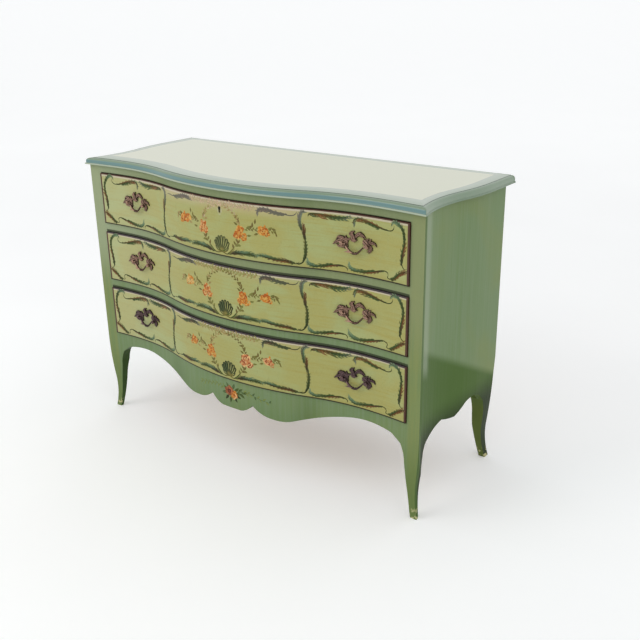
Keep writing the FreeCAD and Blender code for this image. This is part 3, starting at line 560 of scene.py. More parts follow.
def ornament_paint():
    roughness = 0.42
    shader = Shader("ornament_paint", roughness, coat_roughness=0.18, specular=0.15)
    return brushed(shader, shader.painted(), roughness, 0.06, (220.0, 220.0, 220.0), 0.3, 0.12)


def cast_metal(name, dark_reflection):
    """Antique copper-brown casting: bright crests and dark hollows and edges, partly wear and patina and
    partly painted highlight and shade; its purple-brown tint is painted reflection.
    """
    shader = Shader(name, 0.38, metallic=0.4, specular=0.3)
    painted = shader.painted()
    patches = shader.noise(160.0, 3.0, 0.6)
    purple = shader.mix(1.0, painted, REFLECTION_PURPLE, "MULTIPLY")
    # Painted reflection: a purple tint and more brown patches where the metal reflects dark surroundings
    colour = shader.layers(painted, (dark_reflection, purple),
                           (patches.step(0.42, 0.66, 0.0, 0.3 + 0.3 * dark_reflection), PATINA_AND_REFLECTION_BROWN))
    return shader.done(colour, patches.step(0.35, 0.7, 0.3, 0.52),
                       shader.bump(shader.noise(900.0, 3.0, 0.7), 0.35, 0.0004))


def worn_metal(name, light, dark):
    roughness = 0.35
    shader = Shader(name, roughness, metallic=0.9)
    scratches = shader.noise(2.0, 2.0, stretch=(900.0, 900.0, 60.0))
    colour = shader.mix(shader.noise(120.0, 3.0, 0.6).step(0.4, 0.7), light, dark)
    return shader.done(colour, scratches.step(0.3, 0.7, roughness - 0.08, roughness + 0.15),
                       shader.bump(scratches, 0.1, 0.0002))


# CAD nodes that stay: their own materials

# Each painted rail, and the painted shadow strip along its low edge, in metres
RAIL_SHADOW_STRIPS = (("top_rail", 0.0012), ("upper_rail", 0.0055), ("lower_rail", 0.0055), ("front_apron", 0.0))
# The colour of each drawer's top rim, partly edge paint and partly painted shadow, how far down it comes in
# metres, and the painted reflection (haze) under it
DRAWER_RIMS = {"bottom": (EDGE_GREY, 0.0052, 0.2), "middle": (EDGE_GREY, 0.0052, 0.2),
               "top": (EDGE_BROWN, 0.0040, 0.65)}


def dress(material, *nodes):
    for node in nodes:
        slots = NODES[node].data.materials
        slots.clear()
        slots.append(material)


def dress_frame():
    inner = [wood("inner_wood_" + "xy"[axis], INNER_LIGHT, INNER_DARK, axis) for axis in (0, 1)]
    drawer_wood = [wood("drawer_wood_" + "xy"[axis], WOOD_LIGHT, WOOD_DARK, axis) for axis in (0, 1)]
    ply = wood("plywood", PLY_LIGHT, PLY_DARK, 0, PLY_ROUGHNESS)
    steel = worn_metal("screw_steel", srgb(150, 150, 150), srgb(110, 106, 100))
    brass = worn_metal("lock_brass", srgb(104, 84, 52), srgb(64, 50, 34))
    dress(painted_green("painted_case"), "front_left_leg", "front_right_leg", "back_left_leg",
          "back_right_leg")
    dress(painted_green("painted_side", 0), "left_side_panel", "right_side_panel")
    for board, strip in RAIL_SHADOW_STRIPS:
        dress(painted_green("painted_" + board, 1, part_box(board)[0].z, strip), board)
    dress(inner[0], "bottom_rail", "back_top_rail", "back_bottom_rail", "upper_rear_rail", "lower_rear_rail")
    dress(inner[1], "bottom_runners", "lower_runners", "upper_runners", "left_kicker", "right_kicker",
          "centre_guides")
    dress(wood("back_plywood", PLY_LIGHT, PLY_DARK, 2, PLY_ROUGHNESS), "back_panel")
    dress(ply, "bottom_dust_panel", "lower_dust_panel", "upper_dust_panel")
    dress(steel, "top_screws")
    dress(brass, "lock_case", "lock_bolt")
    for drawer in DRAWERS:
        part = drawer + "_drawer_"
        front = part + "front"
        dress(painted_drawer("painted_" + front, *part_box(front), *DRAWER_RIMS[drawer]), front)
        dress(drawer_wood[1], part + "left_side", part + "right_side")
        dress(drawer_wood[0], part + "back")
        dress(ply, part + "bottom")
        dress(steel, drawer + "_pull_screws")


# The top: a moulded edge swept round the front and the sides, and the painted field

# The cream field and pale border are partly the top's paint and partly painted reflection of the sky
TEAL = srgb(98, 134, 132)
OVOLO_GREEN = srgb(118, 140, 114)
OVOLO_SIDE_REFLECTION = srgb(130, 150, 126)
QUIRK_DARK = srgb(78, 96, 78)
LIP_HIGHLIGHT = srgb(168, 180, 156)
BORDER = srgb(172, 184, 168)
BORDER_LINE = srgb(160, 170, 160)
CREAM = srgb(210, 212, 188)
BACK_BORDER = 24.0
CORNER_EASE = 5.0
OVOLO_RADIUS = 9.0
OVOLO_LOW_INSET = 2.5
OVOLO_TOP_DROP = 1.2
OVOLO_STEPS = 15
LIP_HEIGHT = 4.5
FRONT_STEPS = 96
SIDE_STEPS = 48
CORNER_STEPS = 5
CORNER_TRIES = 30
# Lines of the flat border: inset at the front, at the sides' front ends and at their back ends, and colour
BORDER_ROWS = ((58.0, 36.0, 50.0, BORDER), (59.0, 37.0, 51.0, BORDER_LINE), (60.6, 38.6, 52.6, BORDER_LINE),
               (61.6, 39.6, 53.6, CREAM))


def top_path(front_inset, near_inset, far_inset):
    """From the back of the left side, round the front, to the back of the right side."""
    def front(x):
        return x, front_y(x, TOP_FRONT_OVERHANG - front_inset)

    corner_x = TOP_CORNER_X
    for _ in range(CORNER_TRIES):
        corner_x = top_side_x(front(corner_x)[1], near_inset)
    corner = front(corner_x)
    start = front(corner_x - CORNER_EASE)
    end_y = corner[1] + CORNER_EASE
    end = (top_side_x(end_y, near_inset), end_y)
    path = [front(start[0] * i / FRONT_STEPS) for i in range(FRONT_STEPS)]
    for i in range(CORNER_STEPS + 1):
        t = i / CORNER_STEPS
        path.append(tuple((1 - t) ** 2 * a + 2 * t * (1 - t) * c + t ** 2 * b
                          for a, c, b in zip(start, corner, end)))
    for i in range(1, SIDE_STEPS + 1):
        share = i / SIDE_STEPS
        y = end_y + (TOP_BACK - end_y) * share
        path.append((top_side_x(y, near_inset + (far_inset - near_inset) * share), y))
    return [(-x, y) for x, y in reversed(path[1:])] + path


def moulding_profile():
    """From the underside, up the lip and the ovolo, to the quirk: inset, height, front colour, side colour.
    The side is paler than the front by painted reflection, the front lip's pale is a painted highlight, the
    quirks' dark is painted shade and the front's teal is partly paint and partly painted reflection.
    """
    lip_top = TOP_UNDERSIDE + LIP_HEIGHT
    shoulder = TOP_HEIGHT - OVOLO_TOP_DROP
    centre_inset = OVOLO_LOW_INSET + OVOLO_RADIUS
    centre_z = shoulder - OVOLO_RADIUS
    # Painted shade under the side's lip
    profile = [(inset, TOP_UNDERSIDE + rise, LIP_HIGHLIGHT, shaded(OVOLO_GREEN, 0.85))
               for inset, rise in ((1.2, 0.0), (0.3, 0.3), (0.0, 1.2))]
    profile += [(inset, lip_top - drop, LIP_HIGHLIGHT, OVOLO_GREEN)
                for inset, drop in ((0.0, 1.2), (0.4, 0.3), (1.2, 0.0))]
    profile += [(1.9, lip_top + 0.1, QUIRK_DARK, OVOLO_GREEN),
                (OVOLO_LOW_INSET, lip_top + 0.7, TEAL, OVOLO_SIDE_REFLECTION)]
    for i in range(OVOLO_STEPS + 1):
        angle = math.radians(90 * i / OVOLO_STEPS)
        share = i / OVOLO_STEPS
        inset, z = centre_inset - OVOLO_RADIUS * math.cos(angle), centre_z + OVOLO_RADIUS * math.sin(angle)
        profile.append((inset, z, blend(TEAL, OVOLO_GREEN, ramp((share - 0.22) * 7)),
                        blend(OVOLO_SIDE_REFLECTION, OVOLO_GREEN, share ** 2)))
    profile += [(14.2, shoulder, OVOLO_GREEN, OVOLO_GREEN), (14.7, shoulder - 0.3, QUIRK_DARK, QUIRK_DARK),
                (15.0, shoulder, QUIRK_DARK, QUIRK_DARK), (15.3, TOP_HEIGHT - 0.3, QUIRK_DARK, BORDER_LINE),
                (15.8, TOP_HEIGHT, BORDER, BORDER)]
    return profile


def make_top():
    sheet = Sheet()
    rows = []
    front_half = FRONT_STEPS + CORNER_STEPS // 2
    for inset, z, front_colour, side_colour in moulding_profile():
        path = top_path(inset, inset, inset)
        middle = len(path) // 2
        rows.append([sheet.add((x, y, z), front_colour if abs(index - middle) <= front_half else side_colour)
                     for index, (x, y) in enumerate(path)])
    for front_inset, near_inset, far_inset, colour in BORDER_ROWS:
        path = top_path(front_inset, near_inset, far_inset)
        rows.append([sheet.add((x, y, TOP_HEIGHT), colour) for x, y in path])
    sheet.grid(rows, flip=True)
    sheet.cap(rows[-1], rows[0])
    sheet.faces.append(tuple([row[0] for row in rows] + [row[-1] for row in reversed(rows)]))
    top = sheet.make("moulded_top", painted_top(), "case", "painted_top")
    for polygon in top.data.polygons:
        if len(polygon.vertices) > 4:
            polygon.use_smooth = False
    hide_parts("top_panel")


# Painted ornament

SPINE = srgb(50, 57, 26)
DARK_GREEN = srgb(71, 86, 38)
MID_GREEN = srgb(78, 98, 58)
TEAL_LEAF = srgb(104, 132, 98)
PALE_TEAL = srgb(138, 154, 116)
BLUE_GREY = srgb(112, 114, 98)
RUST = srgb(134, 84, 42)
DARK_RUST = srgb(86, 58, 32)
OCHRE_GREEN = srgb(116, 108, 52)
OLIVE_BROWN = srgb(114, 100, 52)
TWIG_OLIVE = srgb(120, 120, 60)
FAINT_BROWN = srgb(162, 140, 88)
FAINT_OLIVE = srgb(150, 146, 84)
FADED_PINK = srgb(194, 168, 136)
FADED_OLIVE = srgb(184, 168, 128)
# Colour of the painted reflection over the strokes near a drawer's top
REFLECTION_VEIL = srgb(139, 129, 121)
ORANGE = srgb(204, 130, 50)
DEEP_ORANGE = srgb(178, 94, 36)
PALE_ORANGE = srgb(220, 170, 90)
ROSE_RED = srgb(134, 62, 34)
DEEP_PINK = srgb(156, 80, 50)
PINK = srgb(204, 132, 80)
PALE_PINK = srgb(226, 180, 122)
PEACH = srgb(212, 146, 76)
ROSE_HEART = srgb(96, 38, 32)
DUSK_RED = srgb(148, 84, 50)
DUSK_PINK = srgb(186, 114, 76)
APRON_OLIVE = srgb(120, 134, 72)
CREAM_YELLOW = srgb(222, 190, 122)
SHELL_DARK = srgb(40, 48, 20)
SHELL_FADED = srgb(66, 72, 38)
SHELL_GREEN = srgb(74, 88, 52)
SHELL_LIGHT = srgb(158, 156, 94)
SHELL_ROOT = srgb(140, 128, 62)

KEYHOLE_SHADE = srgb(20, 16, 10)
KEYHOLE_HIGHLIGHT = srgb(200, 194, 160)
KEYHOLE_Z = 133.5

# A stroke's section: places across it, as shares of its half width, and their heights
SECTION = ((-1.0, -0.15), (-0.62, 0.16), (0.0, 0.24), (0.62, 0.16), (1.0, -0.15))
LAYER_LIFT = 0.07
STROKE_STEP = 2.2
PLUME_STEPS = 120
VINE_STEPS = 60
# Painted reflection over the strokes: where it starts above the opening's floor and over what height it
# grows, its half width and its soft edge
VEIL_FROM = 105.0
VEIL_RUN = 40.0
VEIL_HALF_WIDTH = 268.0
VEIL_EDGE = 18.0


class Painter(Sheet):
    """Brush strokes laid on a packed front, as thin raised beads of paint."""

    def __init__(self, node, floor_z, seed, veil=0.0):
        super().__init__()
        mesh = NODES[node].data
        faces = [tuple(polygon.vertices) for polygon in mesh.polygons]
        self.tree = BVHTree.FromPolygons([vertex.co for vertex in mesh.vertices], faces)
        self.floor_z = floor_z
        self.random = random.Random(seed)
        self.veil = veil
        self.side = 1

    def pick(self, *choices):
        return choices[self.random.randrange(len(choices))]

    def on_face(self, x, z, lift):
        """A place on the front, in millimetres, lifted off it along its normal."""
        x = x * self.side
        world_z = self.floor_z + z
        start = Vector((x * MM, front_y(x) * MM - 0.1, world_z * MM))
        hit = self.tree.ray_cast(start, Vector((0.0, 1.0, 0.0)), 0.13)[0]
        y = hit.y * METRE if hit is not None else front_y(x, FRONT_PROUD)
        turn = front_turn(x)
        return (x + math.sin(turn) * lift, y - math.cos(turn) * lift, world_z)

    def stroke(self, points, width, colours, layer=0, head=0.15, tail=0.5, steps=None):
        """One tapered stroke through points of (x, z); head and tail are the shares that taper."""
        length = sum(math.dist(a, b) for a, b in zip(points, points[1:]))
        steps = steps or max(5, min(40, int(length / STROKE_STEP) + 3))
        line = smooth_line(points, steps)
        tint = 1.0 + self.random.uniform(-0.12, 0.12)
        rows = []
        for index, (x, z) in enumerate(line):
            share = index / (steps - 1)
            across = across_at(line, index)
            swell = min(1.0, share / head + 0.12) ** 0.6 * min(1.0, (1 - share) / tail + 0.05) ** 0.8
            half = width / 2 * swell
            # Painted reflection over the top middle of the front
            middle = ramp((VEIL_HALF_WIDTH - abs(x)) / VEIL_EDGE)
            veil_share = self.veil * ramp((z - VEIL_FROM) / VEIL_RUN) * middle
            colour = blend(shaded(colour_along(colours, share), tint), REFLECTION_VEIL, veil_share)
            row = []
            for offset, height in SECTION:
                lift = height + layer * LAYER_LIFT if height > 0 else height
                place = self.on_face(x + across[0] * half * offset, z + across[1] * half * offset, lift)
                row.append(self.add(place, colour))
            rows.append(row)
        self.grid(rows, flip=self.side > 0)

    def plume(self, points, side, base, tip, height, count, colours):
        """An acanthus leaf along a line, from base to tip: long lobes that lean towards the tip."""
        line = smooth_line(points, PLUME_STEPS)
        forward = 1 if tip > base else -1
        body = []
        for k in range(9):
            here, there = at_share(line, base + (tip - base) * k / 8)
            across = math.atan2(there[1] - here[1], there[0] - here[0]) + side * math.pi / 2
            body.append(towards(here, across, height * 0.28))
        self.stroke(body, height * 0.8, [shaded(c, 0.7) for c in colours], 0.5, 0.12, 0.3)
        for k in range(count):
            share = k / max(count - 1, 1)
            here, there = at_share(line, base + (tip - base) * share)
            heading = math.atan2((there[1] - here[1]) * forward, (there[0] - here[0]) * forward)
            size = height * (0.45 + 0.55 * math.sin(math.pi * (0.12 + 0.76 * share)))
            size *= self.random.uniform(0.85, 1.15)
            lean = side * forward * math.radians(self.random.uniform(26, 38))
            reach = size * 1.9
            middle = towards(here, heading + lean * 1.5, reach * 0.5)
            end = towards(here, heading + lean, reach)
            colour = colour_along(colours, share)
            pale = blend(colour, PALE_TEAL, 0.45)
            width = max(size * 0.6, 3.4)
            lift = 1 + (k % 3) * 0.5
            self.stroke([here, middle, end], width, [shaded(colour, 0.62), colour, shaded(colour, 0.9)],
                        lift, 0.2, 0.55)
            self.stroke([blend(here, middle, 0.4), middle, blend(middle, end, 0.6)], width * 0.36, [pale],
                        lift + 1, 0.3, 0.6)

    def scroll(self, points, width, plumes):
        """A stem with plumes: each is (side, base, tip, height, count, colours)."""
        self.stroke(points, width, [SPINE], 0, 0.1, 0.15)
        for plume in plumes:
            self.plume(points, *plume)
        self.stroke(points, width * 0.3, [shaded(SPINE, 1.7)], 1, 0.1, 0.4)

    def leaf(self, x, z, angle, length, width, colour, layer=0):
        """One small leaf with a lighter middle."""
        line = [towards((x, z), math.radians(angle), length * share) for share in (0.0, 0.5, 1.0)]
        self.stroke(line, width * 1.3, [shaded(colour, 0.75), colour], layer, 0.35, 0.5)
        self.stroke(line, width * 0.3, [shaded(colour, 1.5)], layer + 1, 0.4, 0.6)

    def dab(self, x, z, angle, length, width, colour, layer):
        """One short, full touch of the brush about a middle."""
        line = [towards((x, z), math.radians(angle), length * share) for share in (-0.5, 0.0, 0.5)]
        self.stroke(line, width, [shaded(colour, 0.86), colour, colour], layer, 0.35, 0.4, 6)

    def bloom(self, x, z, half_width, half_height, colours, dabs=26):
        """A loose cluster of roses in short dabs: deep at the back, pale on top."""
        deep, main, pale = colours
        uniform = self.random.uniform

        def spot(turn, reach):
            return x + math.cos(turn) * half_width * reach, z + math.sin(turn) * half_height * reach

        for k in range(dabs):
            turn = uniform(0, 2 * math.pi)
            place = spot(turn, math.sqrt(uniform(0.02, 1.0)) * 0.82)
            size = half_width * uniform(0.5, 0.72)
            colour = self.pick(deep, main, main, deep, pale)
            angle = math.degrees(turn) + 90 + uniform(-30, 30)
            self.dab(*place, angle, size, size * 0.8, colour, 1 + k % 3)
        for k in range(dabs // 2):
            turn = uniform(0, 2 * math.pi)
            place = spot(turn, uniform(0.1, 0.8))
            size = half_width * uniform(0.28, 0.42)
            self.dab(*place, math.degrees(turn) + 90, size, size * 0.55, (pale, main)[k % 3 == 0], 4)
        for _ in range(4):
            place = x + uniform(-0.4, 0.4) * half_width, z + uniform(-0.4, 0.4) * half_height
            self.dab(*place, uniform(0, 180), half_width * 0.24, half_width * 0.12, ROSE_RED, 5)

    def vine(self, points, count, length, colours, width=2.6, stem=0.9):
        """A thin stem with small leaves left and right."""
        self.stroke(points, stem, [colours[0]], 0, 0.1, 0.2)
        line = smooth_line(points, VINE_STEPS)
        for k in range(count):
            here, there = at_share(line, (k + 0.5) / count)
            heading = math.degrees(math.atan2(there[1] - here[1], there[0] - here[0]))
            angle = heading + (1 if k % 2 else -1) * self.random.uniform(28, 60)
            colour = self.pick(*colours)
            self.leaf(*here, angle, length * self.random.uniform(0.7, 1.2), width, colour, 1)

    def shell(self, x, z, height, dark, green):
        """A rocaille shell: broad dark ribs from one root, lighter lines on the right half, two curls."""
        root = (x, z)
        ribs = 7
        fan = []
        for k in range(ribs):
            angle = math.radians(133 - 86 * k / (ribs - 1))
            reach = height * (0.82 + 0.18 * math.sin(math.pi * (k + 0.5) / ribs))
            sway = math.radians(14 - 28 * k / (ribs - 1))
            fan.append((towards(root, angle + sway, reach * 0.5), towards(root, angle, reach)))
        for middle, tip in fan:
            self.stroke((root, middle, tip), height * 0.25, [dark], 1, 0.8, 0.06)
        for k, (middle, tip) in enumerate(fan):
            lit = k >= ribs // 2
            tone = blend(green, SHELL_LIGHT, 0.4) if lit else green
            self.stroke([blend(root, middle, 0.4), middle, blend(middle, tip, 0.92)], height * 0.13, [tone],
                        2, 0.7, 0.1)
            if lit:
                self.stroke([blend(root, middle, 0.7), middle, blend(middle, tip, 0.85)], height * 0.065,
                            [SHELL_LIGHT], 3, 0.4, 0.3)
            self.stroke([root, blend(root, middle, 0.5), blend(root, middle, 0.9)], height * 0.07,
                        [SHELL_ROOT, green], 4, 0.2, 0.6)
        for side in (-1, 1):
            curl = [(x + side * out, z + up) for out, up in ((6, -2), (17, 2), (23, 10), (20, 18), (15, 14))]
            self.stroke(curl, 3.4, [SPINE, dark, SPINE], 2, 0.2, 0.2)
            self.dab(x + side * 20, z + 24, 90, 6, 5, dark, 2)
        for px, pz, angle in ((24, 16, 60), (25, 27, 100), (21, 35, 130)):
            self.dab(x + px, z + pz, angle, 7, 3.4, dark, 3)


# Scrolls, as (x, z) above the opening's floor, right hand; the left is its mirror image. Each has its line,
# its stem's width and its plumes: side of the line, base and tip along it, height, count and colours.
TO_TEAL = (DARK_GREEN, DARK_GREEN, TEAL_LEAF, PALE_TEAL)
TO_GREY = (DARK_GREEN, DARK_GREEN, RUST, MID_GREEN, BLUE_GREY)
RUSTY = (DARK_GREEN, DARK_RUST, RUST, DARK_GREEN)
PANEL_SCROLLS = (
    (((273, 142), (275, 149), (285, 152), (310, 152), (340, 149), (370, 149), (394, 155)), 3.4,
     ((-1, 0.16, 0.97, 10.5, 14, (DARK_RUST, DARK_GREEN, RUST, DARK_GREEN, MID_GREEN, BLUE_GREY)),
      (1, 0.55, 0.97, 4.5, 7, (RUST, DARK_GREEN, TEAL_LEAF)))),
    (((399, 137), (402, 147), (413, 152), (435, 149), (460, 142), (485, 135), (508, 133), (518, 139),
      (520, 149)), 3.2,
     ((-1, 0.60, 0.02, 10, 12, TO_GREY), (1, 0.72, 0.20, 5, 8, (DARK_GREEN, RUST, TEAL_LEAF)))),
    (((512, 146), (514, 154), (524, 158), (537, 153), (546, 142), (552, 125), (552, 105), (548, 85),
      (545, 65), (547, 50), (553, 43), (560, 46)), 3.2,
     ((-1, 0.50, 0.10, 7, 9, TO_TEAL), (1, 0.50, 0.12, 5, 8, TO_TEAL),
      (-1, 0.82, 0.42, 6, 8, (SPINE, DARK_GREEN, DARK_GREEN)), (1, 0.78, 0.50, 7, 7, RUSTY))),
    (((560, 40), (549, 33), (536, 24), (521, 13), (509, 10), (503, 13), (505, 20)), 2.8,
     ((1, 0.62, 0.02, 7, 8, (DARK_GREEN, RUST, DARK_RUST)),
      (-1, 0.66, 0.08, 7, 8, (DARK_GREEN, DARK_GREEN, RUST)))),
    (((384, 27), (390, 18), (405, 12), (430, 13), (455, 19), (475, 25), (492, 28), (503, 24),
      (505, 15)), 3.2,
     ((1, 0.56, 0.0, 8.5, 11, TO_TEAL), (-1, 0.76, 0.34, 6, 8, RUSTY), (-1, 0.30, 0.04, 4, 6, TO_TEAL))),
    (((266, 22), (272, 14), (288, 9), (311, 12), (335, 18), (358, 22), (374, 20), (382, 14), (379, 9)), 3.2,
     ((1, 0.54, 0.0, 8, 11, TO_TEAL), (-1, 0.74, 0.36, 6, 8, RUSTY), (-1, 0.30, 0.04, 4, 6, TO_TEAL))),
)
CENTRE_SCROLLS = (
    (((262, 156), (253, 150), (250, 138), (251, 122), (255, 104)), 3.6,
     ((1, 1.0, 0.02, 6.5, 10, (DARK_GREEN, TEAL_LEAF, BLUE_GREY)),
      (-1, 1.0, 0.05, 6, 10, (DARK_GREEN, BLUE_GREY)))),
    (((260, 122), (260, 106), (261, 92), (263, 78)), 3.4,
     ((-1, 1.0, 0.05, 5, 8, (SPINE, DARK_RUST, RUST)), (1, 1.0, 0.1, 5, 8, (SPINE, DARK_RUST, RUST)))),
    (((262, 92), (265, 70), (265, 47), (262, 27), (254, 15), (243, 12), (238, 16)), 4.6,
     ((-1, 0.62, 0.10, 6, 8, (SPINE, DARK_GREEN, OCHRE_GREEN)), (1, 0.5, 0.1, 5, 7, (SPINE, DARK_GREEN)))),
)
TOP_PLUMES = {
    1: ((126, 139), (130, 148), (142, 152), (160, 151), (180, 146), (205, 143), (225, 141), (238, 145),
        (244, 154)),
    -1: ((118, 150), (134, 153), (152, 152), (170, 148), (188, 144), (206, 142), (222, 144), (236, 144)),
}
FOOT_PLUMES = {
    1: (((28, 10), (42, 14), (60, 19), (84, 20), (104, 20), (124, 17)),
        ((122, 20), (140, 22), (160, 19), (185, 16), (208, 15), (228, 12), (240, 12), (248, 18))),
    -1: (((28, 10), (42, 14), (58, 19), (82, 22), (104, 21), (124, 17)),
         ((130, 20), (148, 21), (168, 18), (186, 17), (206, 19), (222, 17), (240, 15))),
}
# Stem width and plumes of the lines that differ by side: along the top, near foot, far foot
PLUMES = (
    (3.4, (-1, 0.66, 0.0, 9, 12, (DARK_GREEN, DARK_GREEN, DARK_RUST, SPINE, BLUE_GREY)),
     (1, 0.70, 0.10, 5, 9, (DARK_GREEN, SPINE, BLUE_GREY))),
    (3.4, (1, 0.10, 0.98, 8, 14, (DARK_RUST, SPINE, TEAL_LEAF, DARK_GREEN, TEAL_LEAF)),
     (-1, 0.20, 0.96, 6, 12, (DARK_RUST, SPINE, DARK_GREEN, DARK_GREEN))),
    (3.0, (1, 0.80, 0.0, 7.5, 14, (DARK_GREEN, DARK_RUST, DARK_GREEN, TEAL_LEAF, DARK_GREEN)),
     (-1, 0.74, 0.04, 5.5, 11, (DARK_GREEN, RUST, DARK_RUST, SPINE, TEAL_LEAF))),
)

# Each side's tones of its twigs' leaves and of the ring of leaves over its inner roses
TWIGS = {
    1: ((TWIG_OLIVE, OCHRE_GREEN, OLIVE_BROWN), (OCHRE_GREEN, OLIVE_BROWN, OLIVE_BROWN)),
    -1: ((OCHRE_GREEN, FAINT_BROWN, OCHRE_GREEN), (FAINT_BROWN, OCHRE_GREEN, FAINT_BROWN)),
}
# Loose leaves by the roses: (x, z), angle and which tone of its side's twigs
TWIG_LEAVES = ((111, 98, 88, 2), (119, 108, 80, 2), (94, 92, 40, 0), (102, 96, 30, 2), (93, 72, 8, 0),
               (65, 106, 88, 2), (61, 98, 150, 1), (52, 118, 30, 1), (160, 97, 30, 0), (170, 100, -10, 1),
               (176, 96, -50, 1), (128, 82, 200, 1))
# The roses' clusters: middle, how far it shifts with the rose's width, half width, half height and dabs
INNER_BLOOMS = ((62, 84, 7, 17, 15, 34), (61, 69, -2, 14, 13, 26), (62, 68, 18, 14, 12, 24))
OUTER_BLOOMS = ((143, 91, 0, 18, 13, 36), (143, 82, 14, 9, 9, 14))
ROSE_COLOURS = {
    "orange": (DEEP_ORANGE, ORANGE, PALE_ORANGE),
    "pink": (DEEP_PINK, PINK, PALE_PINK),
    "peach": (DEEP_ORANGE, PEACH, PALE_PINK),
    "pale": (ORANGE, PALE_ORANGE, CREAM_YELLOW),
}
# Which roses each drawer has, and how wide: inner left, inner right, outer left, outer right
DRAWER_ROSES = {
    "top": (("peach", 0.78), ("orange", 1.0), ("orange", 1.35), ("orange", 1.0)),
    "middle": (("peach", 0.9), ("orange", 1.0), ("pale", 1.0), ("orange", 1.0)),
    "bottom": (("orange", 0.92), ("pink", 1.0), ("orange", 0.9), ("pink", 1.0)),
}
DRAWER_GAP = 1.5
SCROLL_SEED = 11
FLOWER_SEED = 31
APRON_SEED = 51
APRON_ROSE = (2, 237)
# How strongly painted reflection veils each drawer's middle scrolls under its top edge
DRAWER_VEIL = {"top": 0.5, "middle": 0.22, "bottom": 0.06}


def paint_scrolls(painter):
    shift = painter.random.uniform
    for side in (1, -1):
        painter.side = side
        for points, width, plumes in PANEL_SCROLLS + CENTRE_SCROLLS:
            painter.scroll([(x + shift(-1, 1), z + shift(-0.6, 0.6)) for x, z in points], width, plumes)
        lines = (TOP_PLUMES[side], *FOOT_PLUMES[side])
        for points, (width, *plumes) in zip(lines, PLUMES):
            painter.scroll(points, width, plumes)


def paint_flowers(painter, drawer):
    roses = DRAWER_ROSES[drawer]
    worn = drawer == "top"
    faint = (FADED_OLIVE, FADED_PINK) if worn else (FAINT_OLIVE, FAINT_BROWN)
    for side, inner, outer in ((-1, roses[0], roses[2]), (1, roses[1], roses[3])):
        painter.side = side
        twig, ring = TWIGS[side]
        foot = (OCHRE_GREEN, TWIG_OLIVE) if worn and side > 0 else (DARK_GREEN, OLIVE_BROWN)
        painter.stroke([(22, 12), (31, 17), (41, 27), (51, 38)], 4.6, [DARK_GREEN, *foot], 0, 0.2, 0.4)
        painter.stroke([(27, 12), (39, 19), (48, 30)], 3.4, [TWIG_OLIVE, foot[0]], 1, 0.1, 0.5)
        painter.stroke([(50, 36), (57, 46), (62, 58)], 2.4, [OCHRE_GREEN, FAINT_BROWN], 0, 0.1, 0.3)
        for x, z, angle, length in ((44, 30, 100, 13), (52, 38, 20, 16), (52, 41, 120, 12), (58, 46, 45, 15),
                                    (60, 50, 130, 11), (60, 42, 350, 11)):
            colour = painter.pick(TWIG_OLIVE, OLIVE_BROWN, OCHRE_GREEN)
            painter.leaf(x, z, angle, length, 6.0, colour, 1)
        painter.vine([(66, 98), (63, 112), (53, 126), (36, 138), (16, 146), (0, 149)], 16, 11,
                     (FAINT_BROWN, FADED_PINK, FAINT_BROWN) if worn else ring, 4.2)
        painter.vine([(122, 151), (90, 153), (60, 150), (30, 154), (2, 151)], 24, 11, faint, 4.4, 1.6)
        painter.vine([(112, 145), (84, 148), (52, 147), (20, 143)], 13, 9, faint, 3.6, 1.2)
        painter.vine([(84, 88), (98, 92), (112, 92), (126, 94)], 8, 10, twig, 4.0, 1.4)
        for x, z, angle, tone in TWIG_LEAVES:
            painter.leaf(x, z, angle, 14, 5.4, twig[tone], 1)
        painter.leaf(149, 100, 80, 9, 6.0, ORANGE, 1)
        painter.vine([(156, 94), (170, 94), (186, 86)], 5, 10, twig, 4.0, 1.0)
        for (rose, width), blooms in ((inner, INNER_BLOOMS), (outer, OUTER_BLOOMS)):
            for x, z, shift, across, up, dabs in blooms:
                painter.bloom(x + shift * width, z, across * width, up, ROSE_COLOURS[rose], dabs)
    painter.side = 1
    if worn:
        painter.shell(2, 17, 45, SHELL_FADED, blend(SHELL_GREEN, SHELL_LIGHT, 0.3))
    else:
        painter.shell(2, 17, 45, SHELL_DARK, SHELL_GREEN)
    for angle in (12, 32, 148, 168):
        painter.leaf(2, 14, angle, 18, 5.0, painter.pick(DARK_GREEN, OCHRE_GREEN), 3)
    painter.stroke([(-34, 13), (-14, 11), (2, 14), (18, 10), (34, 13)], 3.4, [SPINE, OCHRE_GREEN, SPINE],
                   3, 0.2, 0.2)


def paint_keyhole(painter):
    """The keyhole's eye and rim in painted shade, standing for the dark of the hole, and a pale painted
    highlight round it.
    """
    def rim(places, width, colour, layer, taper):
        for side in (-1, 1):
            line = [(side * x, KEYHOLE_Z + z) for x, z in places]
            painter.stroke(line, width, [colour], layer, taper, taper)

    rim(((6.4, 4), (6.2, -3), (4.4, -12)), 3.4, KEYHOLE_HIGHLIGHT, 0, 0.3)
    painter.dab(0, KEYHOLE_Z - 13.5, 0, 9, 3.4, KEYHOLE_HIGHLIGHT, 0)
    for lift in (2.2, 4.4, 6.6):
        painter.dab(0, KEYHOLE_Z + lift, 0, 9.6, 4.6, KEYHOLE_SHADE, 1)
    rim(((3.0, 3), (2.6, -3), (2.3, -9.5)), 2.2, KEYHOLE_SHADE, 1, 0.05)


def paint_drawers(material):
    for index, drawer in enumerate(DRAWERS):
        node = drawer + "_drawer_front"
        floor_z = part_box(node)[0].z * METRE - DRAWER_GAP
        scrolls = Painter(node, floor_z, SCROLL_SEED + index, DRAWER_VEIL[drawer])
        paint_scrolls(scrolls)
        scrolls.make(drawer + "_drawer_scrolls", material, drawer + "_drawer", "painted_drawer")
        flowers = Painter(node, floor_z, FLOWER_SEED + index)
        paint_flowers(flowers, drawer)
        if drawer == "top":
            paint_keyhole(flowers)
        flowers.make(drawer + "_drawer_flowers", material, drawer + "_drawer", "painted_drawer")


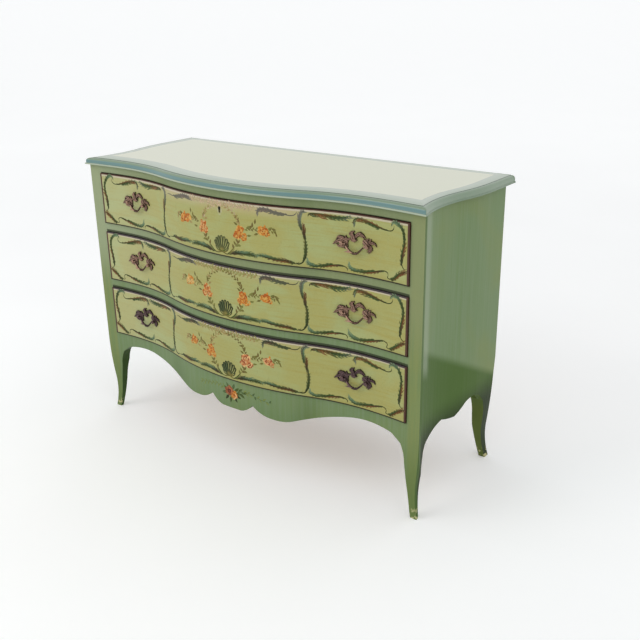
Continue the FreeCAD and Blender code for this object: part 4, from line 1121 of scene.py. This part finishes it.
def paint_apron(material):
    """A rose in a wreath of leaves, with a vine to either side."""
    painter = Painter("front_apron", 0.0, APRON_SEED)
    x, z = APRON_ROSE
    for angle in (5, 38, 70, 120, 150, 190, 230, 262, 305, 340):
        turn = math.radians(angle)
        painter.leaf(x + 18 * math.cos(turn), z + 14 * math.sin(turn), angle, 20, 8.0,
                     painter.pick(DARK_GREEN, SPINE, MID_GREEN))
    painter.vine([(24, 244), (50, 250), (78, 248), (110, 240), (150, 236)], 14, 13,
                 (MID_GREEN, APRON_OLIVE), 5.0, 1.4)
    painter.vine([(-22, 246), (-48, 252), (-76, 248), (-104, 244), (-132, 238)], 14, 13,
                 (APRON_OLIVE, APRON_OLIVE), 4.8, 1.2)
    for px, pz, angle, length in ((30, 246, 40, 20), (36, 242, -35, 20), (48, 246, 20, 15)):
        painter.leaf(px, pz, angle, length, 8.0, DARK_GREEN)
    painter.bloom(x - 9, z + 5, 18, 17, (DUSK_RED, DUSK_RED, DUSK_PINK), 30)
    painter.bloom(x + 10, z - 5, 15, 15, (DEEP_ORANGE, ORANGE, PEACH), 30)
    for across, up, angle in ((-9, 8, 20), (-5, 3, 75), (-11, 1, 125), (-6, 8, 160)):
        painter.dab(x + across, z + up, angle, 11, 6, ROSE_HEART, 6)
    for across, up, angle in ((14, -14, 60), (20, -8, 80), (10, -18, 20), (17, -3, 110)):
        painter.dab(x + across, z + up, angle, 10, 6, PALE_PINK, 6)
    painter.make("apron_rose", material, "case", "painted_case")


# Cast pulls, about the pull's middle on the drawer's face: x right, z up, height out from the face

COPPER = (srgb(38, 30, 18), srgb(98, 72, 56), srgb(196, 156, 132))
# How far each drawer's metal is tinted purple-brown, a painted reflection of darker surroundings
PULL_DARK_REFLECTION = {"top": 0.1, "middle": 0.1, "bottom": 1.0}
PATINA_AND_REFLECTION_BROWN = srgb(82, 64, 62)
REFLECTION_PURPLE = srgb(160, 160, 190)
PULL_FROM_CENTRE = 407.0
SINK = 0.6
BAIL_OUT = 10.0
BAIL_UP = 2.0
BAIL_ARM = 29.0
BAIL_LOW = -20.0
BUD_X = 37.0
RIB_DEPTH = 0.07
# Half of a leaf's section, from its middle: place across, share of the crown and light
LEAF_HALF = ((0.0, 0.25, 0.12), (0.17, 0.6, 0.5), (0.46, 1.0, 0.85), (0.76, 0.5, 0.1), (1.0, 0.05, 0.0))
LEAF_SECTION = tuple((-across, crown, light) for across, crown, light in LEAF_HALF[:0:-1]) + LEAF_HALF


def face_height(x):
    """How far the drawer's hollowed face comes forward at x from the pull's middle."""
    radius = HOLLOW_RADIUS - FRONT_PROUD
    return radius - math.sqrt(radius ** 2 - x ** 2)


class Casting(Sheet):
    """Leaves, bars and bosses of one casting, joined in one mesh."""

    def spot(self, x, z, height, light):
        """A point at a height, in dark copper at light 0 and bright at 1; the light is partly wear and
        patina and partly painted highlight and shade.
        """
        return self.add((x, -height, z), colour_along(COPPER, light))

    def leaf(self, points, width, crown, notches, steps=30):
        """A veined, lobed leaf through points of (x, z, height above the face)."""
        line = smooth_line(points, steps)
        rows = []
        for index, (x, z, height) in enumerate(line):
            share = index / (steps - 1)
            across = across_at(line, index)
            envelope = min(1.0, share / 0.35 + 0.35) ** 0.7 * min(1.0, (1 - share) / 0.6 + 0.04) ** 0.75
            notch = 0.74 + 0.26 * abs(math.sin(math.pi * notches * share))
            half = width / 2 * envelope
            swell = 0.35 + 0.65 * envelope
            row = []
            for offset, crest, shine in LEAF_SECTION:
                edge = offset * (notch if abs(offset) > 0.7 else 1.0)
                px = x + across[0] * half * edge
                vein = 0.16 * math.sin(2 * math.pi * (notches * share * 2 + abs(offset) * 0.8))
                level = height + crown * swell * (crest + vein * (1 - abs(offset)))
                # Crests and vein ridges brighter, edges darker: partly wear and patina, partly painted
                # highlight and shade
                row.append(self.spot(px, z + across[1] * half * edge, face_height(px) + level,
                                     shine + 1.6 * vein + 0.1 * height / 6))
            for end in (row[-1], row[0]):
                px, _, pz = self.points[end]
                row.append(self.spot(px, pz, face_height(px) - SINK, 0.0))
            rows.append(row)
        self.grid(rows, closed=True)
        self.cap(rows[0], rows[-1])

    def bar(self, points, radii, sides=10, light=0.6):
        """A round bar through points of (x, z, height out from the pull's own plane)."""
        steps = max(8, len(points) * 6)
        line = smooth_line(points, steps)
        rows = []
        for index, here in enumerate(line):
            before, after = beside(line, index)
            along = (Vector(after) - Vector(before)).normalized()
            side = along.cross(Vector((0.0, 0.0, 1.0))).normalized()
            up = side.cross(along).normalized()
            radius = colour_along([(r,) for r in radii], index / (steps - 1))[0]
            row = []
            for k in range(sides):
                turn = 2 * math.pi * k / sides
                place = Vector(here) + (side * math.cos(turn) + up * math.sin(turn)) * radius
                # Painted highlight on each bar's outward side, painted shade on its inner side
                row.append(self.spot(*place, light + 0.35 * math.sin(turn)))
            rows.append(row)
        self.grid(rows, closed=True, flip=True)
        self.cap(rows[-1], rows[0])

    def boss(self, x, z, profile, sides=20, ribs=0):
        """A turned boss standing out from the face: profile of (radius, height, light)."""
        base = face_height(x)
        rows = []
        for radius, height, light in profile:
            row = []
            for k in range(sides):
                turn = 2 * math.pi * k / sides
                rib = 1.0 + (RIB_DEPTH * math.cos(ribs * turn) if ribs else 0.0)
                shine = 0.85 + 0.3 * (rib - 1) / RIB_DEPTH if ribs else 1.0
                row.append(self.spot(x + radius * rib * math.cos(turn), z + radius * rib * math.sin(turn),
                                     base + height, light * shine))
            rows.append(row)
        self.grid(rows, closed=True)
        self.cap(rows[-1], rows[0])


# Each leaf of the plate: points of (x, z, height), width, crown and notches
PLATE_LEAVES = (
    # left rosette
    (((-22, 4, 1.5), (-38, 9, 3.0), (-54, 4, 3.2), (-67, -5, 1.6)), 15, 3.0, 5),
    (((-24, 6, 2.0), (-36, 15, 3.8), (-49, 17, 3.6), (-57, 9, 2.2)), 10, 2.6, 4),
    (((-24, 7, 1.5), (-27, 15, 3.2), (-29, 23, 3.0)), 8, 2.2, 3),
    (((-24, 1, 1.5), (-37, -6, 3.0), (-50, -7, 2.6), (-57, -2, 1.4)), 10, 2.4, 4),
    (((-24, -1, 1.2), (-28, -9, 2.4), (-36, -13, 1.4)), 9, 2.0, 3),
    # crest
    (((-2, 9, 2.2), (-6, 18, 4.4), (-9, 27, 4.6), (-13, 36, 2.6)), 16, 3.2, 4),
    (((-11, 24, 3.0), (-9, 33, 4.2), (-3, 37, 3.0)), 8, 2.4, 3),
    (((-2, 19, 2.4), (6, 28, 4.2), (14, 32, 4.2), (23, 28, 3.0), (30, 22, 1.6)), 11, 2.8, 5),
    (((4, 24, 2.0), (12, 27, 3.0), (20, 24, 2.2), (26, 19, 1.4)), 6, 2.0, 3),
    (((-14, 14, 2.6), (-5, 12, 5.0), (6, 14, 2.6)), 8, 3.0, 2),
    (((-12, 22, 1.8), (-17, 28, 2.8), (-15, 34, 1.4)), 7, 2.2, 3),
    # link between the left rosette and the crest
    (((-32, 11, 1.6), (-23, 13, 2.8), (-15, 16, 2.6), (-9, 21, 2.0)), 6.5, 1.8, 4),
    # right rosette
    (((22, 16, 2.0), (29, 11, 4.0), (37, 6, 4.2), (44, 2, 2.4)), 19, 3.0, 3),
    (((28, 11, 1.6), (34, 18, 3.2), (40, 23, 2.4)), 9, 2.6, 3),
    (((36, 9, 1.8), (43, 16, 3.2), (46, 23, 2.0)), 8, 2.4, 3),
    (((40, 8, 1.6), (50, 13, 3.4), (58, 11, 3.0), (62, 4, 1.4)), 9, 2.8, 4),
    (((38, 5, 1.6), (41, -3, 3.2), (38, -10, 2.6), (32, -14, 1.2)), 9, 2.4, 4),
    (((44, 5, 1.4), (47, -3, 2.6), (42, -12, 1.6), (37, -17, 1.0)), 8, 2.2, 4),
)
BUD_PROFILE = ((7.0, -SINK, 0.0), (7.0, 2.4, 0.3), (5.6, 3.6, 0.6), (4.6, 5.0, 0.3), (4.4, 10.5, 0.5),
               (5.4, 12.0, 0.9), (5.0, 13.8, 1.0), (3.2, 15.0, 1.0), (0.8, 15.4, 0.9))
NUB_PROFILE = ((4.6, -SINK, 0.0), (4.6, 3.0, 0.4), (3.8, 5.6, 0.9), (2.0, 7.0, 1.0), (0.5, 7.3, 1.0))
# Two sprigs on the bail's left arm: points of (x, z, height), and width
SPRIGS = ((((-25, -3.0, 9.8), (-20, -9.0, 10.6), (-13, -15.0, 11.2), (-4, -18.6, 10.8)), 6.5),
          (((-6, -18, 9.6), (-15, -17.5, 10.8), (-23, -17.5, 10.4), (-29, -19.0, 9.8)), 5.0))


def plate_mesh(material):
    plate = Casting()
    for leaf in PLATE_LEAVES:
        plate.leaf(*leaf)
    for x in (-BUD_X, BUD_X):
        plate.boss(x, BAIL_UP, BUD_PROFILE, ribs=5)
    plate.boss(-4, 12, NUB_PROFILE, ribs=5)
    plate.boss(-44, 2, NUB_PROFILE)
    return plate.mesh("pull_plate", material)


def bail_mesh(material):
    def level(*places):
        return [(x, z, BAIL_OUT) for x, z in places]

    bail = Casting()
    arm = level((BAIL_ARM, BAIL_UP), (23.0, -4.6), (16.0, -11.8), (9.5, -17.3), (4.0, BAIL_LOW + 0.4))
    whole = [(-x, z, out) for x, z, out in arm] + level((0.0, BAIL_LOW)) + arm[::-1]
    bail.bar(whole, (1.9, 2.2, 2.4, 2.9, 3.4, 3.4, 3.4, 2.9, 2.4, 2.2, 1.9), light=0.02)
    for side in (-1, 1):
        bail.bar(level((side * BAIL_ARM, BAIL_UP), (side * 33.0, BAIL_UP), (side * 37.5, BAIL_UP)),
                 (2.0, 1.9, 1.9), light=0.3)
        bail.bar(level((side * (BAIL_ARM - 1.2), BAIL_UP - 1.2), (side * BAIL_ARM, BAIL_UP),
                       (side * (BAIL_ARM + 1.6), BAIL_UP)), (2.2, 3.0, 2.2), light=0.6)
        bail.bar(level((side * 5.5, BAIL_LOW + 1.4), (side * 4.4, BAIL_LOW + 0.9)), (3.9, 3.9), light=0.35)
    for points, width in SPRIGS:
        bail.bar([(x, z, out + 1.6) for x, z, out in points],
                 (1.0, width / 3.4, width / 2.6, width / 4, 0.5), light=0.8)
    return bail.mesh("pull_bail", material)


def make_pulls():
    for drawer in DRAWERS:
        metal = cast_metal(drawer + "_pull_metal", PULL_DARK_REFLECTION[drawer])
        plate = plate_mesh(metal)
        bail = bail_mesh(metal)
        low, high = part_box(drawer + "_drawer_front")
        for hand, side in HANDS:
            x = side * PULL_FROM_CENTRE
            turn = front_turn(x)
            face = Vector((x + math.sin(turn) * FRONT_PROUD, front_y(x) - math.cos(turn) * FRONT_PROUD,
                           (low.z + high.z) / 2 * METRE)) * MM
            place = Matrix.Translation(face) @ Matrix.Rotation(turn, 4, "Z")
            prefix = drawer + "_" + hand
            made = put(prefix + "_cast_plate", plate, drawer + "_drawer", place)
            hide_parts(prefix + "_pull_plate")
            made = put(prefix + "_cast_bail", bail, prefix + "_bail", place)
            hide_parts(prefix + "_pull_bail")


# Camera, light and floor

IMAGE_SIZE = 640.0
FOCAL_PIXELS = 857.75
SENSOR = 36.0
CAMERA_AT = (1.60243, -1.91657, 1.33915)
CAMERA_AZIMUTH = 0.6496
CAMERA_ELEVATION = 0.36465
CAMERA_ROLL = -0.01564
WORLD_LIGHT = (0.96, 0.98, 1.0, 1.0)
WORLD_STRENGTH = 0.8
FLOOR_HALF = 400.0
# The floor glows a little where it is seen, more from 1.5 m to 7 m away
FLOOR_GLOW = (1.5, 7.0, 0.17, 0.23)
# Each lamp: its place, what it points at, its size, power and colour
LAMPS = {
    "key": ((-1.9, -3.1, 3.2), (0.0, 0.0, 0.5), (2.6, 2.0), 38.0, (1.0, 0.985, 0.96)),
    "fill": ((3.6, -1.2, 2.2), (0.3, 0.0, 0.5), (2.4, 2.0), 8.0, (0.96, 0.98, 1.0)),
}


def make_camera():
    az, el, roll = CAMERA_AZIMUTH, CAMERA_ELEVATION, CAMERA_ROLL
    ahead = Vector((-math.sin(az) * math.cos(el), math.cos(az) * math.cos(el), -math.sin(el)))
    level = ahead.cross(Vector((0.0, 0.0, 1.0))).normalized()
    raised = level.cross(ahead)
    right = level * math.cos(roll) + raised * math.sin(roll)
    up = raised * math.cos(roll) - level * math.sin(roll)
    data = bpy.data.cameras.new("camera")
    data.sensor_fit = "HORIZONTAL"
    data.sensor_width = SENSOR
    data.lens = FOCAL_PIXELS / IMAGE_SIZE * SENSOR
    camera = bpy.data.objects.new("camera", data)
    turned = Matrix((right, up, -ahead)).transposed().to_4x4()
    camera.matrix_world = Matrix.Translation(Vector(CAMERA_AT)) @ turned
    bpy.context.scene.collection.objects.link(camera)
    bpy.context.scene.camera = camera


def area_light(name, at, target, size, power, colour):
    data = bpy.data.lights.new(name, "AREA")
    data.shape = "RECTANGLE"
    data.size, data.size_y = size
    data.energy = power
    data.color = colour
    lamp = bpy.data.objects.new(name, data)
    lamp.location = at
    lamp.rotation_euler = (Vector(target) - Vector(at)).to_track_quat("-Z", "Y").to_euler()
    bpy.context.scene.collection.objects.link(lamp)


def seen_share(tree):
    """1 where a surface is seen directly, in a reflection or through glass; 0 where it gives light."""
    path = tree.nodes.new("ShaderNodeLightPath")
    share = path.outputs["Is Camera Ray"]
    for name in ("Is Glossy Ray", "Is Transmission Ray"):
        either = tree.nodes.new("ShaderNodeMath")
        either.operation = "MAXIMUM"
        tree.links.new(share, either.inputs[0])
        tree.links.new(path.outputs[name], either.inputs[1])
        share = either.outputs[0]
    return share


def make_world():
    """An even pale surround; seen directly or in a reflection it is plain off-white."""
    world = bpy.data.worlds.new("studio")
    world.use_nodes = True
    tree = world.node_tree
    lit = tree.nodes["Background"]
    lit.inputs["Color"].default_value = WORLD_LIGHT
    lit.inputs["Strength"].default_value = WORLD_STRENGTH
    seen = tree.nodes.new("ShaderNodeBackground")
    seen.inputs["Color"].default_value = srgb(251, 251, 251)
    choose = tree.nodes.new("ShaderNodeMixShader")
    for source, socket in ((seen_share(tree), 0), (lit.outputs[0], 1), (seen.outputs[0], 2)):
        tree.links.new(source, choose.inputs[socket])
    tree.links.new(choose.outputs[0], tree.nodes["World Output"].inputs["Surface"])
    bpy.context.scene.world = world


def make_stage():
    mesh = bpy.data.meshes.new("studio_floor")
    mesh.from_pydata([(x * FLOOR_HALF, y * FLOOR_HALF, 0) for x, y in ((-1, -1), (1, -1), (1, 1), (-1, 1))],
                     [], [(0, 1, 2, 3)])
    shader = Shader("studio_floor", 0.8)
    away = shader.node("VectorMath", {0: shader.place}, output=1, operation="LENGTH")
    glow = Value(shader, seen_share(shader.tree)) * away.step(*FLOOR_GLOW)
    shader.put(shader.surface["Emission Color"], (1.0, 1.0, 1.0, 1.0))
    shader.put(shader.surface["Emission Strength"], glow)
    colour = shader.mix(shader.noise(1.5, 2.0), srgb(242, 242, 241), srgb(247, 247, 246))
    mesh.materials.append(shader.done(colour))
    floor = bpy.data.objects.new("studio_floor", mesh)
    bpy.context.scene.collection.objects.link(floor)
    make_world()
    for name, lamp in LAMPS.items():
        area_light(name, *lamp)
    bpy.context.scene.view_settings.view_transform = "Standard"


def main():
    make_camera()
    make_stage()
    dress_frame()
    make_top()
    ornament = ornament_paint()
    paint_drawers(ornament)
    paint_apron(ornament)
    make_pulls()


main()
